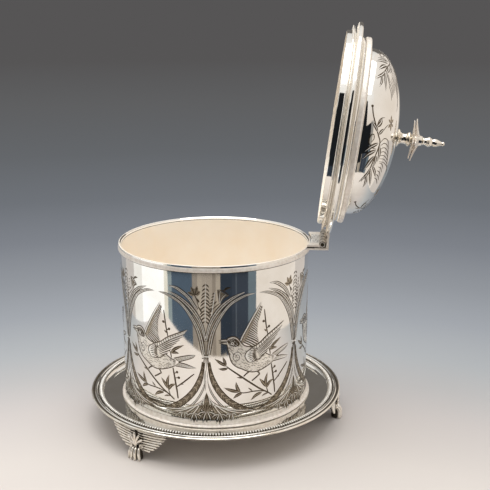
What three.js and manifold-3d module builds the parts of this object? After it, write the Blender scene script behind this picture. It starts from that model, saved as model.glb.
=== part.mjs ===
// Victorian silver-plated biscuit barrel: a round drum on a tray with three cast paw feet, and a
// domed lid with a turned finial, hinged at the back of the drum's rim.
// Millimetres, +Z up. The origin is the centre of the drum's inside floor, and +Y is the back,
// where the hinge is. The lid stands open, with its hinge leaf on the stop.

import * as THREE from "three";
import { mergeVertices } from "three/addons/utils/BufferGeometryUtils.js";
import Module from "manifold-3d";

const wasm = await Module();
wasm.setup();

// Driving dimensions: fits
const seatGap = 0.3; // left between two pieces that are soldered, screwed or stood together
const pinGap = 0.3; // between the hinge pin and its holes, all round
const knuckleGap = 0.3; // between neighbouring knuckles, along the pin

// Driving dimensions: drum
const drumRadius = 70.4; // outside of the plain wall
const drumHeight = 120.6; // from the tray's flat to the crest of the rim
const wallThickness = 1;
const floorThickness = 1.2;
const floorRecess = 1.4; // how far the wall reaches below the floor plate
const rimProjection = 1.6; // rim moulding beyond the wall
const rimBandHeight = 4.2;
const rimRebate = 2.2; // depth of the moulding over the wall's top edge
const footRingSpread = 2.8; // foot ring beyond the wall, where it stands on the tray
const footRingHeight = 4.6;

// Driving dimensions: tray
const trayHeight = 21.2; // from the table to the tray's flat
const trayThickness = 0.9;
const trayFlatWidth = 11.8; // from the foot ring to the cove
const coveWidth = 3.4;
const coveRise = 2.6;
const borderWidth = 8.8; // bead border and rim band together
const rimBandWidth = 6;
const rimBandRise = 1.4;
const rimLap = 2.2; // rim band beyond the flange's edge
const rimLip = 0.6; // how far the band hangs over that edge
const beadRadius = 0.95;
const beadPitch = 2.02;
const footSetback = 3.4; // front of the feet inside the tray's edge

// Driving dimensions: feet
const footNames = ["foot_back", "foot_left", "foot_right"]; // round the tray from +Y
const wingHalfWidth = 27;
const wingThickness = 1.5;
const wingFlutes = 8;
const fluteDepth = 0.7;
const legHalfWidth = 6.4; // leaf at the top of the leg
const legDepth = 2.2; // half of its depth
const wingRoot = 8.6; // half width of the wings at their lowest, beside the paw
const legLap = 2.6; // leg and wings below the top of the paw
const pawHeight = 9.2;
const pawHalfWidth = 5.5;
const pawDepth = 3.8; // half of the pad's depth
const toeReach = 4.4; // toes in front of the wings
const toeCount = 4;

// Driving dimensions: screw fixings under the drum and under the finial
const studRadius = 2;
const studNutRadius = 4.6; // over the corners
const studNutHeight = 3;
const finialStudRadius = 1.5;
const finialNutRadius = 3.5;
const finialNutHeight = 2.4;
const washerThickness = 0.8;
const washerMargin = 1.4; // washer beyond its nut
const studTail = 1.2; // stud beyond its nut

// Driving dimensions: lid
const lidOverhang = 2.6; // widest ring beyond the drum's rim
const lidRingLow = 3.4; // underside of the widest ring above the lid's lower edge
const lidRingHeight = 3.2;
const lidRingRound = 0.8; // rounding of that ring's edges
const lidEdgeBead = 1.2; // height of the bead along the lid's lower edge
const lidCoveRise = 3.3;
const lidCoveDepth = 10; // how far the cove draws in from the widest ring
const lidSheet = 1;
const bezelClearance = 1.2; // between the bezel and the inside of the drum
const bezelDepth = 3.7; // bezel below the lid's lower edge
const bezelThickness = 0.9;
const shoulderHeight = 3.8;
const shoulderRound = 0.7;
const shoulderStep = 7; // from the shoulder ring in to the dome
const domeRise = 27.4;
const domePower = 2.15; // squareness of the dome's outline

// Driving dimensions: finial
const finialBaseRadius = 6.5;
const finialBaseHeight = 10.2;
const finialNeckRadius = 3.6;
const leafReach = 15.4;
const leafCount = 4;
const leafDroop = 3; // tips below their roots, towards the dome
const leafHubRadius = 3.1;
const leafHubHeight = 7.5;
const spireHeight = 15.8;
const spireRadius = 3.7;
const spireSocket = 2.42; // depth of the stud's hole in the spire

// Driving dimensions: hinge
const openAngle = 97.3; // degrees from shut to the stop
const hingeReach = 8.8; // from the rim's outside to the pin's axis
const hingeRise = 2.4; // pin's axis above the lid's lower edge
const hingeLength = 38;
const knuckleCount = 5;
const knuckleRadius = 2.4;
const pinRadius = 1.2;
const pinRecess = 0.6; // pin's ends inside the outer knuckles
const bracketThickness = 2;
const bracketDrop = 0.3; // top of the drum leaf below the pin's axis
const bracketRoot = 3; // solid part of that leaf, out from the rim
const bracketClearance = 0.35; // from it to the lid's knuckles
const strapThickness = 1.2;
const strapMargin = 0.5; // strap beyond the lid leaf's heel
const leafRoot = 4; // hinge leaves inside the rim, before they are cut round
const leafThickness = 1.2;
const leafClearance = 0.5; // lid leaf above the drum's knuckles
const heelReach = 2; // lid leaf beyond the pin's axis, the part that meets the stop

// Facets
const roundSegments = 40;
const smallSegments = 16;
const legSegments = 10;
const toeSegments = 6;

// Heights of the main planes
const trayZ = -(floorThickness + floorRecess + seatGap);
const tableZ = trayZ - trayHeight;
const rimZ = trayZ + drumHeight;
const lidZ = rimZ + seatGap;
const hingeZ = lidZ + hingeRise;
const flangeZ = trayZ + coveRise;
const footTopZ = flangeZ - trayThickness - seatGap;

// Radii that the pieces share
const drumInside = drumRadius - wallThickness;
const rimRadius = drumRadius + rimProjection;
const footRingRadius = drumRadius + footRingSpread;
const trayFlatRadius = footRingRadius + trayFlatWidth;
const flangeInner = trayFlatRadius + coveWidth;
const trayRadius = flangeInner + borderWidth;
const flangeEdge = trayRadius - rimLap;
const beadRingRadius = flangeInner + beadRadius + seatGap / 2;
const lidRingRadius = rimRadius + lidOverhang;
const bezelRadius = drumInside - bezelClearance;
const lidCoveRadius = lidRingRadius - lidCoveDepth;
const shoulderRadius = lidCoveRadius + shoulderRound;
const domeRadius = shoulderRadius - shoulderStep;
const hingeY = rimRadius + hingeReach;

// Heights on the lid, from its lower edge
const lidRingTop = lidRingLow + lidRingHeight;
const lidCoveTop = lidRingTop + lidCoveRise;
const shoulderLow = lidCoveTop + seatGap;
const domeLow = shoulderLow + shoulderHeight + shoulderRound + seatGap;
const domeTop = domeLow + domeRise;

const silverPlate = { color: 0xd8d5cf, roughness: 0.14, metalness: 1 };
const giltInside = { color: 0xe3c9a2, roughness: 0.42, metalness: 1 };
const brass = { color: 0xb5935a, roughness: 0.35, metalness: 1 };

// Geometry helpers

// Revolves a closed outline of [radius, height] points about Z.
function revolve(outline, segments = roundSegments) {
  const points = outline.map(([r, z]) => new THREE.Vector2(r, z));
  if (THREE.ShapeUtils.area(points) < 0) points.reverse();
  const onAxis = points.findIndex((p, i) => p.x === 0 && points.at(i - 1).x === 0);
  const start = onAxis < 0 ? 0 : onAxis;
  const loop = [...points.slice(start), ...points.slice(0, start)];
  if (onAxis < 0) loop.push(loop[0].clone());
  return new THREE.LatheGeometry(loop, segments).rotateX(Math.PI / 2);
}

// Joins rings of equal length into a closed skin, with a flat cap on the first and the last ring,
// or with the last ring joined to the first.
function loft(rings, endless = false) {
  const n = rings[0].length;
  const positions = rings.flat().flatMap((p) => [p.x, p.y, p.z]);
  const index = [];
  const bands = endless ? rings.length : rings.length - 1;
  for (let i = 0; i < bands; i++) {
    const a = i * n;
    const b = ((i + 1) % rings.length) * n;
    for (let j = 0; j < n; j++) {
      const k = (j + 1) % n;
      index.push(a + j, a + k, b + k, a + j, b + k, b + j);
    }
  }
  if (!endless) {
    [0, rings.length - 1].forEach((ring, last) => {
      const centre = new THREE.Vector3();
      rings[ring].forEach((p) => centre.addScaledVector(p, 1 / n));
      const hub = positions.length / 3;
      positions.push(centre.x, centre.y, centre.z);
      for (let j = 0; j < n; j++) {
        const a = ring * n + j;
        const b = ring * n + ((j + 1) % n);
        index.push(hub, last ? a : b, last ? b : a);
      }
    });
  }
  const geometry = new THREE.BufferGeometry();
  geometry.setAttribute("position", new THREE.Float32BufferAttribute(positions, 3));
  geometry.setIndex(index);
  return geometry;
}

// A flat ellipse of points at a height, counter-clockwise from above.
function ellipse(cx, cy, z, rx, ry, count) {
  return Array.from({ length: count }, (_, i) => {
    const a = (i / count) * 2 * Math.PI;
    return new THREE.Vector3(cx + rx * Math.cos(a), cy + ry * Math.sin(a), z);
  });
}

// A prism along X from an outline of [y, z] points, centred on x.
function prismX(outline, length, x = 0, steps = 1) {
  const shape = new THREE.Shape(outline.map(([y, z]) => new THREE.Vector2(y, z)));
  const axes = new THREE.Matrix4().makeBasis(
    new THREE.Vector3(0, 1, 0),
    new THREE.Vector3(0, 0, 1),
    new THREE.Vector3(1, 0, 0),
  );
  return new THREE.ExtrudeGeometry(shape, { depth: length, steps, bevelEnabled: false })
    .applyMatrix4(axes)
    .translate(x - length / 2, 0, 0);
}

function cylinderX(radius, length, x = 0) {
  return new THREE.CylinderGeometry(radius, radius, length, smallSegments)
    .rotateZ(Math.PI / 2)
    .translate(x, 0, 0);
}

function cylinderZ(radius, low, high, segments = smallSegments) {
  return new THREE.CylinderGeometry(radius, radius, high - low, segments)
    .rotateX(Math.PI / 2)
    .translate(0, 0, (low + high) / 2);
}

function toSolid(geometry) {
  const bare = geometry.clone();
  bare.deleteAttribute("normal");
  bare.deleteAttribute("uv");
  const merged = mergeVertices(bare, 1e-4);
  const mesh = new wasm.Mesh({
    numProp: 3,
    vertProperties: new Float32Array(merged.attributes.position.array),
    triVerts: new Uint32Array(merged.index.array),
  });
  return new wasm.Manifold(mesh);
}

function fromSolid(solid) {
  const mesh = solid.getMesh();
  const geometry = new THREE.BufferGeometry();
  geometry.setAttribute("position", new THREE.BufferAttribute(mesh.vertProperties, 3));
  geometry.setIndex(new THREE.BufferAttribute(mesh.triVerts, 1));
  return geometry;
}

function join(geometries) {
  return geometries.map(toSolid).reduce((all, next) => all.add(next));
}

function piece(name, geometry, finish) {
  geometry.computeVertexNormals();
  const mesh = new THREE.Mesh(geometry, new THREE.MeshStandardMaterial(finish));
  mesh.name = name;
  return mesh;
}

// Drum

function drumWall() {
  const low = trayZ + seatGap;
  const high = rimZ - rimRebate;
  return revolve([
    [drumInside, low],
    [drumRadius, low],
    [drumRadius, high],
    [drumInside, high],
  ]);
}

// A ring rebated over the wall's top edge, with a thin ridge below, a hollow, a round crest and an
// inside that flares to the mouth.
function drumRimMoulding() {
  const low = rimZ - rimBandHeight;
  const seat = rimZ - rimRebate + seatGap;
  const back = drumRadius + seatGap;
  const across = (s) => back + (rimRadius - back) * s;
  const up = (s) => low + rimBandHeight * s;
  return revolve([
    [back, low],
    [across(0.73), low],
    [across(0.73), up(0.17)],
    [across(0.4), up(0.31)],
    [rimRadius, up(0.74)],
    [rimRadius, up(0.93)],
    [across(0.54), rimZ],
    [drumInside + wallThickness * 0.5, seat + wallThickness * 0.8],
    [drumInside, seat],
    [back, seat],
  ]);
}

function drumFloor() {
  return cylinderZ(drumInside - seatGap, -floorThickness, 0, roundSegments);
}

// The spreading moulding between the wall and the tray.
function drumFootRing() {
  const low = trayZ + seatGap;
  const back = drumRadius + seatGap;
  const across = (s) => back + (footRingRadius - back) * s;
  const up = (s) => low + footRingHeight * s;
  return revolve([
    [back, low],
    [footRingRadius, low],
    [footRingRadius, up(0.16)],
    [across(0.6), up(0.28)],
    [across(0.3), up(0.55)],
    [across(0.16), up(1)],
    [back, up(1)],
  ]);
}

// Tray

// A flat dish with a cove round it and a flange that carries the border.
function trayDish() {
  const t = trayThickness;
  const cove = [0.4, 0.75].map((s) => (s * Math.PI) / 2);
  const face = (a) => [
    trayFlatRadius + coveWidth * Math.sin(a),
    trayZ + coveRise * (1 - Math.cos(a)),
  ];
  const back = (a) => {
    const [r, z] = face(a);
    return [r + t * Math.sin(a), z - t * Math.cos(a)];
  };
  const bore = studRadius + seatGap;
  const dish = revolve([
    [0, trayZ],
    [trayFlatRadius, trayZ],
    ...cove.map(face),
    [flangeInner, flangeZ],
    [flangeEdge, flangeZ],
    [flangeEdge, flangeZ - t],
    [flangeInner + t, flangeZ - t],
    ...cove.map(back).reverse(),
    [trayFlatRadius, trayZ - t],
    [0, trayZ - t],
  ]);
  return fromSolid(toSolid(dish).subtract(toSolid(cylinderZ(bore, trayZ - 2 * t, trayZ + t))));
}

// A ring of half-round beads, two sections to a bead, on the inner edge of the flange.
function trayBeadBorder() {
  const low = flangeZ + seatGap;
  const count = Math.round((2 * Math.PI * beadRingRadius) / beadPitch);
  const rings = Array.from({ length: 2 * count }, (_, i) => {
    const a = (i / count) * Math.PI;
    const crest = low + beadRadius * (i % 2 ? 1 : 2);
    const half = beadRadius * (i % 2 ? 0.6 : 0.95);
    const at = (r, z) => new THREE.Vector3(r * Math.cos(a), r * Math.sin(a), z);
    return [
      at(beadRingRadius - half, low),
      at(beadRingRadius, crest),
      at(beadRingRadius + half, low),
    ];
  });
  return loft(rings, true);
}

// The outer border: a ridge, a groove and a rounded edge that laps the flange.
function trayRimBand() {
  const low = flangeZ + seatGap;
  const inner = trayRadius - rimBandWidth;
  const edge = flangeEdge + seatGap;
  const across = (s) => inner + rimBandWidth * s;
  const up = (s) => low + rimBandRise * s;
  return revolve([
    [inner, low],
    [inner, up(0.4)],
    [across(0.17), up(0.5)],
    [across(0.32), up(1)],
    [across(0.46), up(1)],
    [across(0.64), up(0.5)],
    [across(0.8), up(0.8)],
    [across(0.94), up(0.7)],
    [trayRadius, up(0.2)],
    [across(0.96), low - rimLip],
    [edge, low - rimLip],
    [edge, low],
  ]);
}

// Feet

// A fluted plate cut to a fan outline and bent round the tray, in front of it a ribbed leaf that
// runs down to the ankle, and below that a paw with its toes. Built at +Y.
function footCasting() {
  const front = trayRadius - footSetback;
  const pawUp = (s) => tableZ + pawHeight * s;
  const wingHeight = footTopZ - pawUp(1) + legLap;
  const wingDown = (s) => footTopZ - wingHeight * s;
  const pitch = wingHeight / wingFlutes;

  const section = [[front - wingThickness, wingDown(1)]];
  for (let i = wingFlutes; i > 0; i--) {
    section.push([front - fluteDepth, footTopZ - pitch * i]);
    section.push([front, footTopZ - pitch * (i - 0.5)]);
  }
  section.push([front - fluteDepth, footTopZ], [front - wingThickness, footTopZ]);
  const plate = prismX(section, 2 * wingHalfWidth + wingThickness, 0, 5);

  const fan = new THREE.Shape();
  fan.moveTo(-wingHalfWidth, footTopZ);
  fan.lineTo(wingHalfWidth, footTopZ);
  fan.lineTo(wingHalfWidth * 0.97, wingDown(0.1));
  fan.quadraticCurveTo(wingHalfWidth * 0.62, wingDown(0.9), wingRoot, wingDown(1));
  fan.lineTo(-wingRoot, wingDown(1));
  fan.quadraticCurveTo(-wingHalfWidth * 0.62, wingDown(0.9), -wingHalfWidth * 0.97, wingDown(0.1));
  const outline = new THREE.ExtrudeGeometry(fan, {
    depth: 4 * wingThickness,
    bevelEnabled: false,
    curveSegments: 4,
  })
    .rotateX(Math.PI / 2)
    .translate(0, front + 2 * wingThickness, 0);

  const bend = (p) => {
    const a = p[0] / front;
    return [p[1] * Math.sin(a), p[1] * Math.cos(a), p[2]];
  };
  const wings = toSolid(plate).intersect(toSolid(outline)).warp((p) => {
    [p[0], p[1], p[2]] = bend(p);
  });

  // Leaf and leg: fluted rings from the ankle to under the flange. Each row gives how far forward,
  // how far down, how wide and how deep, as shares of the whole
  const fluted = (y, z, rx, ry) =>
    ellipse(0, 0, z, rx, ry, legSegments).map((p, i) => {
      const s = i % 2 ? 0.78 : 1;
      return new THREE.Vector3(p.x * s, y + p.y * s, z);
    });
  const leg = loft(
    [
      [0.14, 1, 0.6, 1],
      [0.23, 0.72, 0.52, 0.95],
      [0.32, 0.4, 0.84, 1.1],
      [0.23, 0.2, 0.98, 1],
      [0, 0, 1, 0.73],
    ].map(([forward, down, wide, deep]) =>
      fluted(front + legDepth * forward, wingDown(down), legHalfWidth * wide, legDepth * deep),
    ),
  );

  // Paw: a pad with a flat sole, and curved toes round its front, in the same kind of rows but
  // with heights from the table up
  const pad = loft(
    [
      [0.16, 0, 0.86, 0.84],
      [0.21, 0.3, 0.98, 1],
      [0.21, 0.68, 0.98, 0.95],
      [0.12, 0.97, 0.74, 0.75],
    ].map(([forward, up, wide, deep]) =>
      ellipse(0, front + pawDepth * forward, pawUp(up), pawHalfWidth * wide, pawDepth * deep, legSegments),
    ),
  );
  const toeRadius = (pawHalfWidth / toeCount) * 1.08;
  const toes = Array.from({ length: toeCount }, (_, i) => {
    const s = (2 * i + 1) / toeCount - 1;
    const side = (pawHalfWidth - toeRadius) * s * 1.25;
    const stations = [
      [0.86, 0, 0.6],
      [0.98, 0.1, 0.85],
      [1, 0.36, 1.05],
      [0.94, 0.66, 1.05],
      [0.62, 0.9, 0.75],
    ];
    return loft(
      stations.map(([forward, up, wide]) => {
        const x = side * (0.85 + 0.15 * wide);
        const y = front + toeReach * (forward - 0.25 * s * s);
        return ellipse(x, y, pawUp(up), toeRadius * wide, toeRadius * wide * 1.2, toeSegments);
      }),
    );
  });
  return fromSolid([leg, pad, ...toes].map(toSolid).reduce((all, next) => all.add(next), wings));
}

// Screw fixings

function washer(bore, radius, low) {
  return revolve(
    [
      [bore, low],
      [radius, low],
      [radius, low + washerThickness],
      [bore, low + washerThickness],
    ],
    smallSegments,
  );
}

function nut(bore, radius, low, height) {
  const body = cylinderZ(radius, low, low + height, 6);
  const hole = cylinderZ(bore, low - height, low + 2 * height);
  return fromSolid(toSolid(body).subtract(toSolid(hole)));
}

// Hinge, drawn about the pin's axis: u is towards the back, v is up, with the lid shut

const openRad = THREE.MathUtils.degToRad(openAngle);
const leafLow = knuckleRadius + leafClearance;
const leafTop = leafLow + leafThickness;
// Lowest point of the lid leaf's heel when the lid is open, and how far back it then reaches
const heelLow = -heelReach * Math.sin(openRad) + leafTop * Math.cos(openRad);
const heelBack = leafTop * Math.sin(openRad) + heelReach * Math.max(0, Math.cos(openRad));
const strapTop = heelLow - seatGap;

const knuckleLength = (hingeLength - (knuckleCount - 1) * knuckleGap) / knuckleCount;
const knuckleX = (i) => -hingeLength / 2 + knuckleLength / 2 + i * (knuckleLength + knuckleGap);
const knuckles = (first) =>
  Array.from({ length: knuckleCount }, (_, i) => i).filter((i) => i % 2 === first);

const pinHole = () => toSolid(cylinderX(pinRadius + pinGap, hingeLength + 2 * knuckleRadius));

// A round cutter about the drum's axis, seen from the pin
const roundCut = (radius) =>
  toSolid(cylinderZ(radius, -hingeLength / 2, hingeLength / 2, roundSegments).translate(0, -hingeY, 0));

// A block that carries the even knuckles, with a strap below it that ends under the lid leaf's heel.
function hingeDrumLeaf() {
  const top = -bracketDrop;
  const inner = -hingeReach - leafRoot;
  const root = -hingeReach + bracketRoot;
  const blockEnd = -(knuckleRadius + bracketClearance);
  const under = (s) => top - bracketThickness * s;
  const body = prismX(
    [
      [inner, strapTop - strapThickness],
      [heelBack + strapMargin, strapTop - strapThickness],
      [heelBack + strapMargin, strapTop],
      [root, strapTop],
      [root, under(1)],
      [blockEnd, under(1)],
      [blockEnd, top],
      [inner, top],
    ],
    hingeLength,
  );
  const arms = knuckles(0).flatMap((i) => [
    cylinderX(knuckleRadius, knuckleLength, knuckleX(i)),
    prismX(
      [
        [blockEnd - bracketClearance, under(0.87)],
        [-pinRadius / 3, under(0.75)],
        [-pinRadius / 3, top],
        [blockEnd - bracketClearance, top],
      ],
      knuckleLength,
      knuckleX(i),
    ),
  ]);
  return fromSolid(
    join([body, ...arms])
      .subtract(pinHole())
      .subtract(roundCut(rimRadius + seatGap)),
  );
}

// A plate soldered to the lid's widest ring, with the odd knuckles below it and a heel behind them.
function hingeLidLeaf() {
  const plate = prismX(
    [
      [-hingeReach - leafRoot, leafLow],
      [heelReach, leafLow],
      [heelReach, leafTop],
      [-hingeReach - leafRoot, leafTop],
    ],
    hingeLength,
  );
  const arms = knuckles(1).flatMap((i) => [
    cylinderX(knuckleRadius, knuckleLength, knuckleX(i)),
    prismX(
      [
        [-knuckleRadius * 0.6, 0],
        [knuckleRadius * 0.6, 0],
        [knuckleRadius * 0.6, leafLow + leafThickness / 2],
        [-knuckleRadius * 0.6, leafLow + leafThickness / 2],
      ],
      knuckleLength,
      knuckleX(i),
    ),
  ]);
  return fromSolid(
    join([plate, ...arms])
      .subtract(pinHole())
      .subtract(roundCut(lidRingRadius + seatGap)),
  );
}

// Lid, drawn shut with heights from its lower edge

function lidBezel() {
  const inner = bezelRadius - bezelThickness;
  return revolve([
    [inner, -bezelDepth],
    [bezelRadius, -bezelDepth],
    [bezelRadius, lidRingLow + lidSheet],
    [inner, lidRingLow + lidSheet],
  ]);
}

// The lower edge with its round bead, a notch, the widest ring and the cove above it.
function lidRimMoulding() {
  const inner = bezelRadius + seatGap;
  const neck = inner + lidSheet * 1.4;
  const cove = (offset) =>
    [0.45, 1].map((s) => {
      const a = (s * Math.PI) / 2;
      return [
        lidRingRadius - lidRingRound - (lidCoveDepth - lidRingRound) * Math.sin(a) - offset,
        lidRingTop + lidCoveRise * (1 - Math.cos(a)) - offset * 0.6,
      ];
    });
  return revolve([
    [inner, 0],
    [rimRadius - lidEdgeBead * 0.3, 0],
    [rimRadius, lidEdgeBead * 0.5],
    [rimRadius - lidEdgeBead * 0.3, lidEdgeBead],
    [neck, lidEdgeBead * 1.1],
    [neck, lidRingLow - lidRingRound],
    [lidRingRadius - lidRingRound, lidRingLow],
    [lidRingRadius, lidRingLow + lidRingRound],
    [lidRingRadius, lidRingTop - lidRingRound],
    [lidRingRadius - lidRingRound * 0.9, lidRingTop],
    ...cove(0),
    ...cove(lidSheet).reverse(),
    [inner, lidRingTop - lidSheet],
  ]);
}

// The second ring, stepped in to the foot of the dome.
function lidShoulderRing() {
  const round = shoulderRound;
  const top = shoulderLow + shoulderHeight;
  const lip = domeRadius - lidSheet * 1.6;
  return revolve([
    [lidCoveRadius - lidSheet * 1.2, shoulderLow],
    [lidCoveRadius, shoulderLow],
    [shoulderRadius, shoulderLow + round],
    [shoulderRadius, top - round],
    [shoulderRadius - round, top],
    [domeRadius + round * 3, top],
    [domeRadius + round, top + round],
    [lip, top + round],
    [lip, top - lidSheet * 0.3],
    [shoulderRadius - round * 2, top - lidSheet],
  ]);
}

function lidDome() {
  const bore = finialStudRadius + seatGap;
  const arch = (radius, rise, steps) =>
    Array.from({ length: steps }, (_, i) => {
      const a = (i / steps) * (Math.PI / 2);
      return [radius * Math.cos(a) ** (2 / domePower), domeLow + rise * Math.sin(a) ** (2 / domePower)];
    });
  return revolve([
    ...arch(domeRadius, domeRise, 8),
    [bore, domeTop],
    [bore, domeTop - lidSheet],
    ...arch(domeRadius - lidSheet, domeRise - lidSheet, 5).reverse(),
  ]);
}

// Finial, drawn with heights from the underside of each piece

function finialBase() {
  const bore = finialStudRadius + seatGap;
  const r = finialBaseRadius;
  const neck = finialNeckRadius;
  const h = finialBaseHeight;
  return revolve(
    [
      [bore, 0],
      [r * 0.95, 0],
      [r, h * 0.06],
      [r * 0.92, h * 0.13],
      [neck + (r - neck) * 0.35, h * 0.2],
      [neck, h * 0.42],
      [neck, h * 0.58],
      [neck * 1.38, h * 0.78],
      [neck * 1.38, h * 0.88],
      [neck * 0.9, h],
      [bore, h],
    ],
    smallSegments,
  );
}

// A cast collar of pointed leaves in two tiers that droop, thick at the hub and thin at the tips.
function finialLeafCollar() {
  const around = 8 * leafCount;
  const ring = (reach, z, droop = 0) =>
    Array.from({ length: around }, (_, i) => {
      const a = (i / around) * 2 * Math.PI;
      const lobe = Math.abs(Math.cos((leafCount * a) / 2)) ** 8;
      const r = leafHubRadius + (reach - leafHubRadius) * lobe;
      const fall = (droop * (r - leafHubRadius)) / (leafReach - leafHubRadius);
      return new THREE.Vector3(r * Math.cos(a), r * Math.sin(a), z - fall);
    });
  const h = leafHubHeight;
  const collar = loft([
    ring(leafHubRadius, 0),
    ring(leafReach * 0.45, h * 0.13, leafDroop * 0.7),
    ring(leafReach * 0.9, h * 0.22, leafDroop * 0.85),
    ring(leafReach * 0.7, h * 0.35, leafDroop * 0.87),
    ring(leafReach, h * 0.6, leafDroop),
    ring(leafReach * 0.6, h * 0.74, leafDroop),
    ring(leafReach * 0.36, h * 0.88, leafDroop * 0.7),
    ring(leafHubRadius, h),
  ]);
  const bore = cylinderZ(finialStudRadius + seatGap, -h, 2 * h);
  return fromSolid(toSolid(collar).subtract(toSolid(bore)));
}

// A turned spire with a blind hole in its foot for the stud.
function finialSpire() {
  const bore = finialStudRadius + seatGap;
  const r = spireRadius;
  const h = spireHeight;
  return revolve(
    [
      [0, spireSocket],
      [bore, spireSocket],
      [bore, 0],
      [r * 0.82, 0],
      [r * 0.66, h * 0.08],
      [r, h * 0.27],
      [r * 0.6, h * 0.43],
      [r * 0.78, h * 0.54],
      [r * 0.7, h * 0.65],
      [r * 0.34, h * 0.855],
      [r * 0.42, h * 0.92],
      [r * 0.25, h * 0.99],
      [0, h],
    ],
    smallSegments,
  );
}

// Assembly: the base

const barrel = new THREE.Group();

barrel.add(piece("drum_wall", drumWall(), giltInside));
barrel.add(piece("drum_rim_moulding", drumRimMoulding(), silverPlate));
barrel.add(piece("drum_floor", drumFloor(), giltInside));
barrel.add(piece("drum_foot_ring", drumFootRing(), silverPlate));
barrel.add(piece("tray_dish", trayDish(), silverPlate));
barrel.add(piece("tray_bead_border", trayBeadBorder(), silverPlate));
barrel.add(piece("tray_rim_band", trayRimBand(), silverPlate));

footNames.forEach((name, i) => {
  const foot = piece(name, footCasting(), silverPlate);
  foot.rotation.z = (i / footNames.length) * 2 * Math.PI;
  barrel.add(foot);
});

// The screw that holds the drum to the tray hangs from the underside of the floor
const studWasherTop = trayZ - trayThickness - seatGap;
const studNutTop = studWasherTop - washerThickness - seatGap;
const studLow = studNutTop - studNutHeight - studTail;
const nutBore = studRadius + seatGap;
barrel.add(
  piece("drum_stud", cylinderZ(studRadius, studLow, -floorThickness - seatGap), brass),
  piece(
    "drum_stud_washer",
    washer(nutBore, studNutRadius + washerMargin, studWasherTop - washerThickness),
    brass,
  ),
  piece("drum_stud_nut", nut(nutBore, studNutRadius, studNutTop - studNutHeight, studNutHeight), brass),
);

const hinge = new THREE.Group();
hinge.position.set(0, hingeY, hingeZ);
barrel.add(hinge);
hinge.add(piece("hinge_drum_leaf", hingeDrumLeaf(), silverPlate));
hinge.add(piece("hinge_pin", cylinderX(pinRadius, hingeLength - 2 * pinRecess), brass));

// Assembly: the lid, turned about the pin from shut to open

const lidOnPin = new THREE.Group();
lidOnPin.rotation.x = -openRad;
hinge.add(lidOnPin);
lidOnPin.add(piece("hinge_lid_leaf", hingeLidLeaf(), silverPlate));

const lid = new THREE.Group();
lid.position.set(0, -hingeY, -hingeRise);
lidOnPin.add(lid);
lid.add(piece("lid_bezel", lidBezel(), giltInside));
lid.add(piece("lid_rim_moulding", lidRimMoulding(), silverPlate));
lid.add(piece("lid_shoulder_ring", lidShoulderRing(), silverPlate));
lid.add(piece("lid_dome", lidDome(), silverPlate));

const finialLow = domeTop + seatGap;
const collarLow = finialLow + finialBaseHeight + seatGap;
const spireLow = collarLow + leafHubHeight + seatGap;
const finialBaseMesh = piece("finial_base", finialBase(), silverPlate);
finialBaseMesh.position.z = finialLow;
const collarMesh = piece("finial_leaf_collar", finialLeafCollar(), silverPlate);
collarMesh.position.z = collarLow;
const spireMesh = piece("finial_spire", finialSpire(), silverPlate);
spireMesh.position.z = spireLow;
lid.add(finialBaseMesh, collarMesh, spireMesh);

const finialWasherTop = domeTop - lidSheet - seatGap;
const finialNutTop = finialWasherTop - washerThickness - seatGap;
const finialBore = finialStudRadius + seatGap;
lid.add(
  piece(
    "finial_stud",
    cylinderZ(
      finialStudRadius,
      finialNutTop - finialNutHeight - studTail,
      spireLow + spireSocket - seatGap,
    ),
    brass,
  ),
  piece(
    "finial_washer",
    washer(finialBore, finialNutRadius + washerMargin, finialWasherTop - washerThickness),
    brass,
  ),
  piece(
    "finial_nut",
    nut(finialBore, finialNutRadius, finialNutTop - finialNutHeight, finialNutHeight),
    brass,
  ),
);

export default barrel;
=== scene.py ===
# Looks of a Victorian silver-plated biscuit barrel with an engraved drum, a gilt inside and a
# hinged, domed lid that stands open. Profiles and sketches are in millimetres, in the frame of the
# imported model: origin at the centre of the drum's floor, +Z up, +Y at the hinge.
import math
import random

import bmesh
import bpy
from mathutils import Matrix, Vector


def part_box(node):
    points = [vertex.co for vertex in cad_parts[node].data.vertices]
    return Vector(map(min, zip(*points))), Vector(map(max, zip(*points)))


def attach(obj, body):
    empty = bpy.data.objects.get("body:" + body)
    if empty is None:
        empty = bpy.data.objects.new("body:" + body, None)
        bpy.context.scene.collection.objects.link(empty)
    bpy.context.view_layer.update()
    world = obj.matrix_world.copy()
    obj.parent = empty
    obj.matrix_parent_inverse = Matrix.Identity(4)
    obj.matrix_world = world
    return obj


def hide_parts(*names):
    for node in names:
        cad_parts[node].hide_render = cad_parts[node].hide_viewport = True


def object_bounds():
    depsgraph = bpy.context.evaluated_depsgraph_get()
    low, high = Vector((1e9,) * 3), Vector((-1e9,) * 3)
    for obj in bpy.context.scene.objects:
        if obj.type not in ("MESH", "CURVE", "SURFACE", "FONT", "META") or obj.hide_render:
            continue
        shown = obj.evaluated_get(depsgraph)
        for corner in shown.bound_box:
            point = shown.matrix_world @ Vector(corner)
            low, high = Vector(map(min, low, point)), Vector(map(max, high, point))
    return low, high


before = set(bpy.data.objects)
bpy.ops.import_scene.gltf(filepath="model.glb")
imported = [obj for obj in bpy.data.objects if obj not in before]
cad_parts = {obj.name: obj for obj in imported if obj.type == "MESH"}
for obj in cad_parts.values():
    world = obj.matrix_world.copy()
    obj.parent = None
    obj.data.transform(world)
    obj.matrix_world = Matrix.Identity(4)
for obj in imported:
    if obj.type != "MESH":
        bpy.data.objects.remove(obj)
cad_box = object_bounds()

MM = 0.001
SEGMENTS = 256  # round a large ring
SMALL_SEGMENTS = 96  # round a turned piece of the finial

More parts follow.
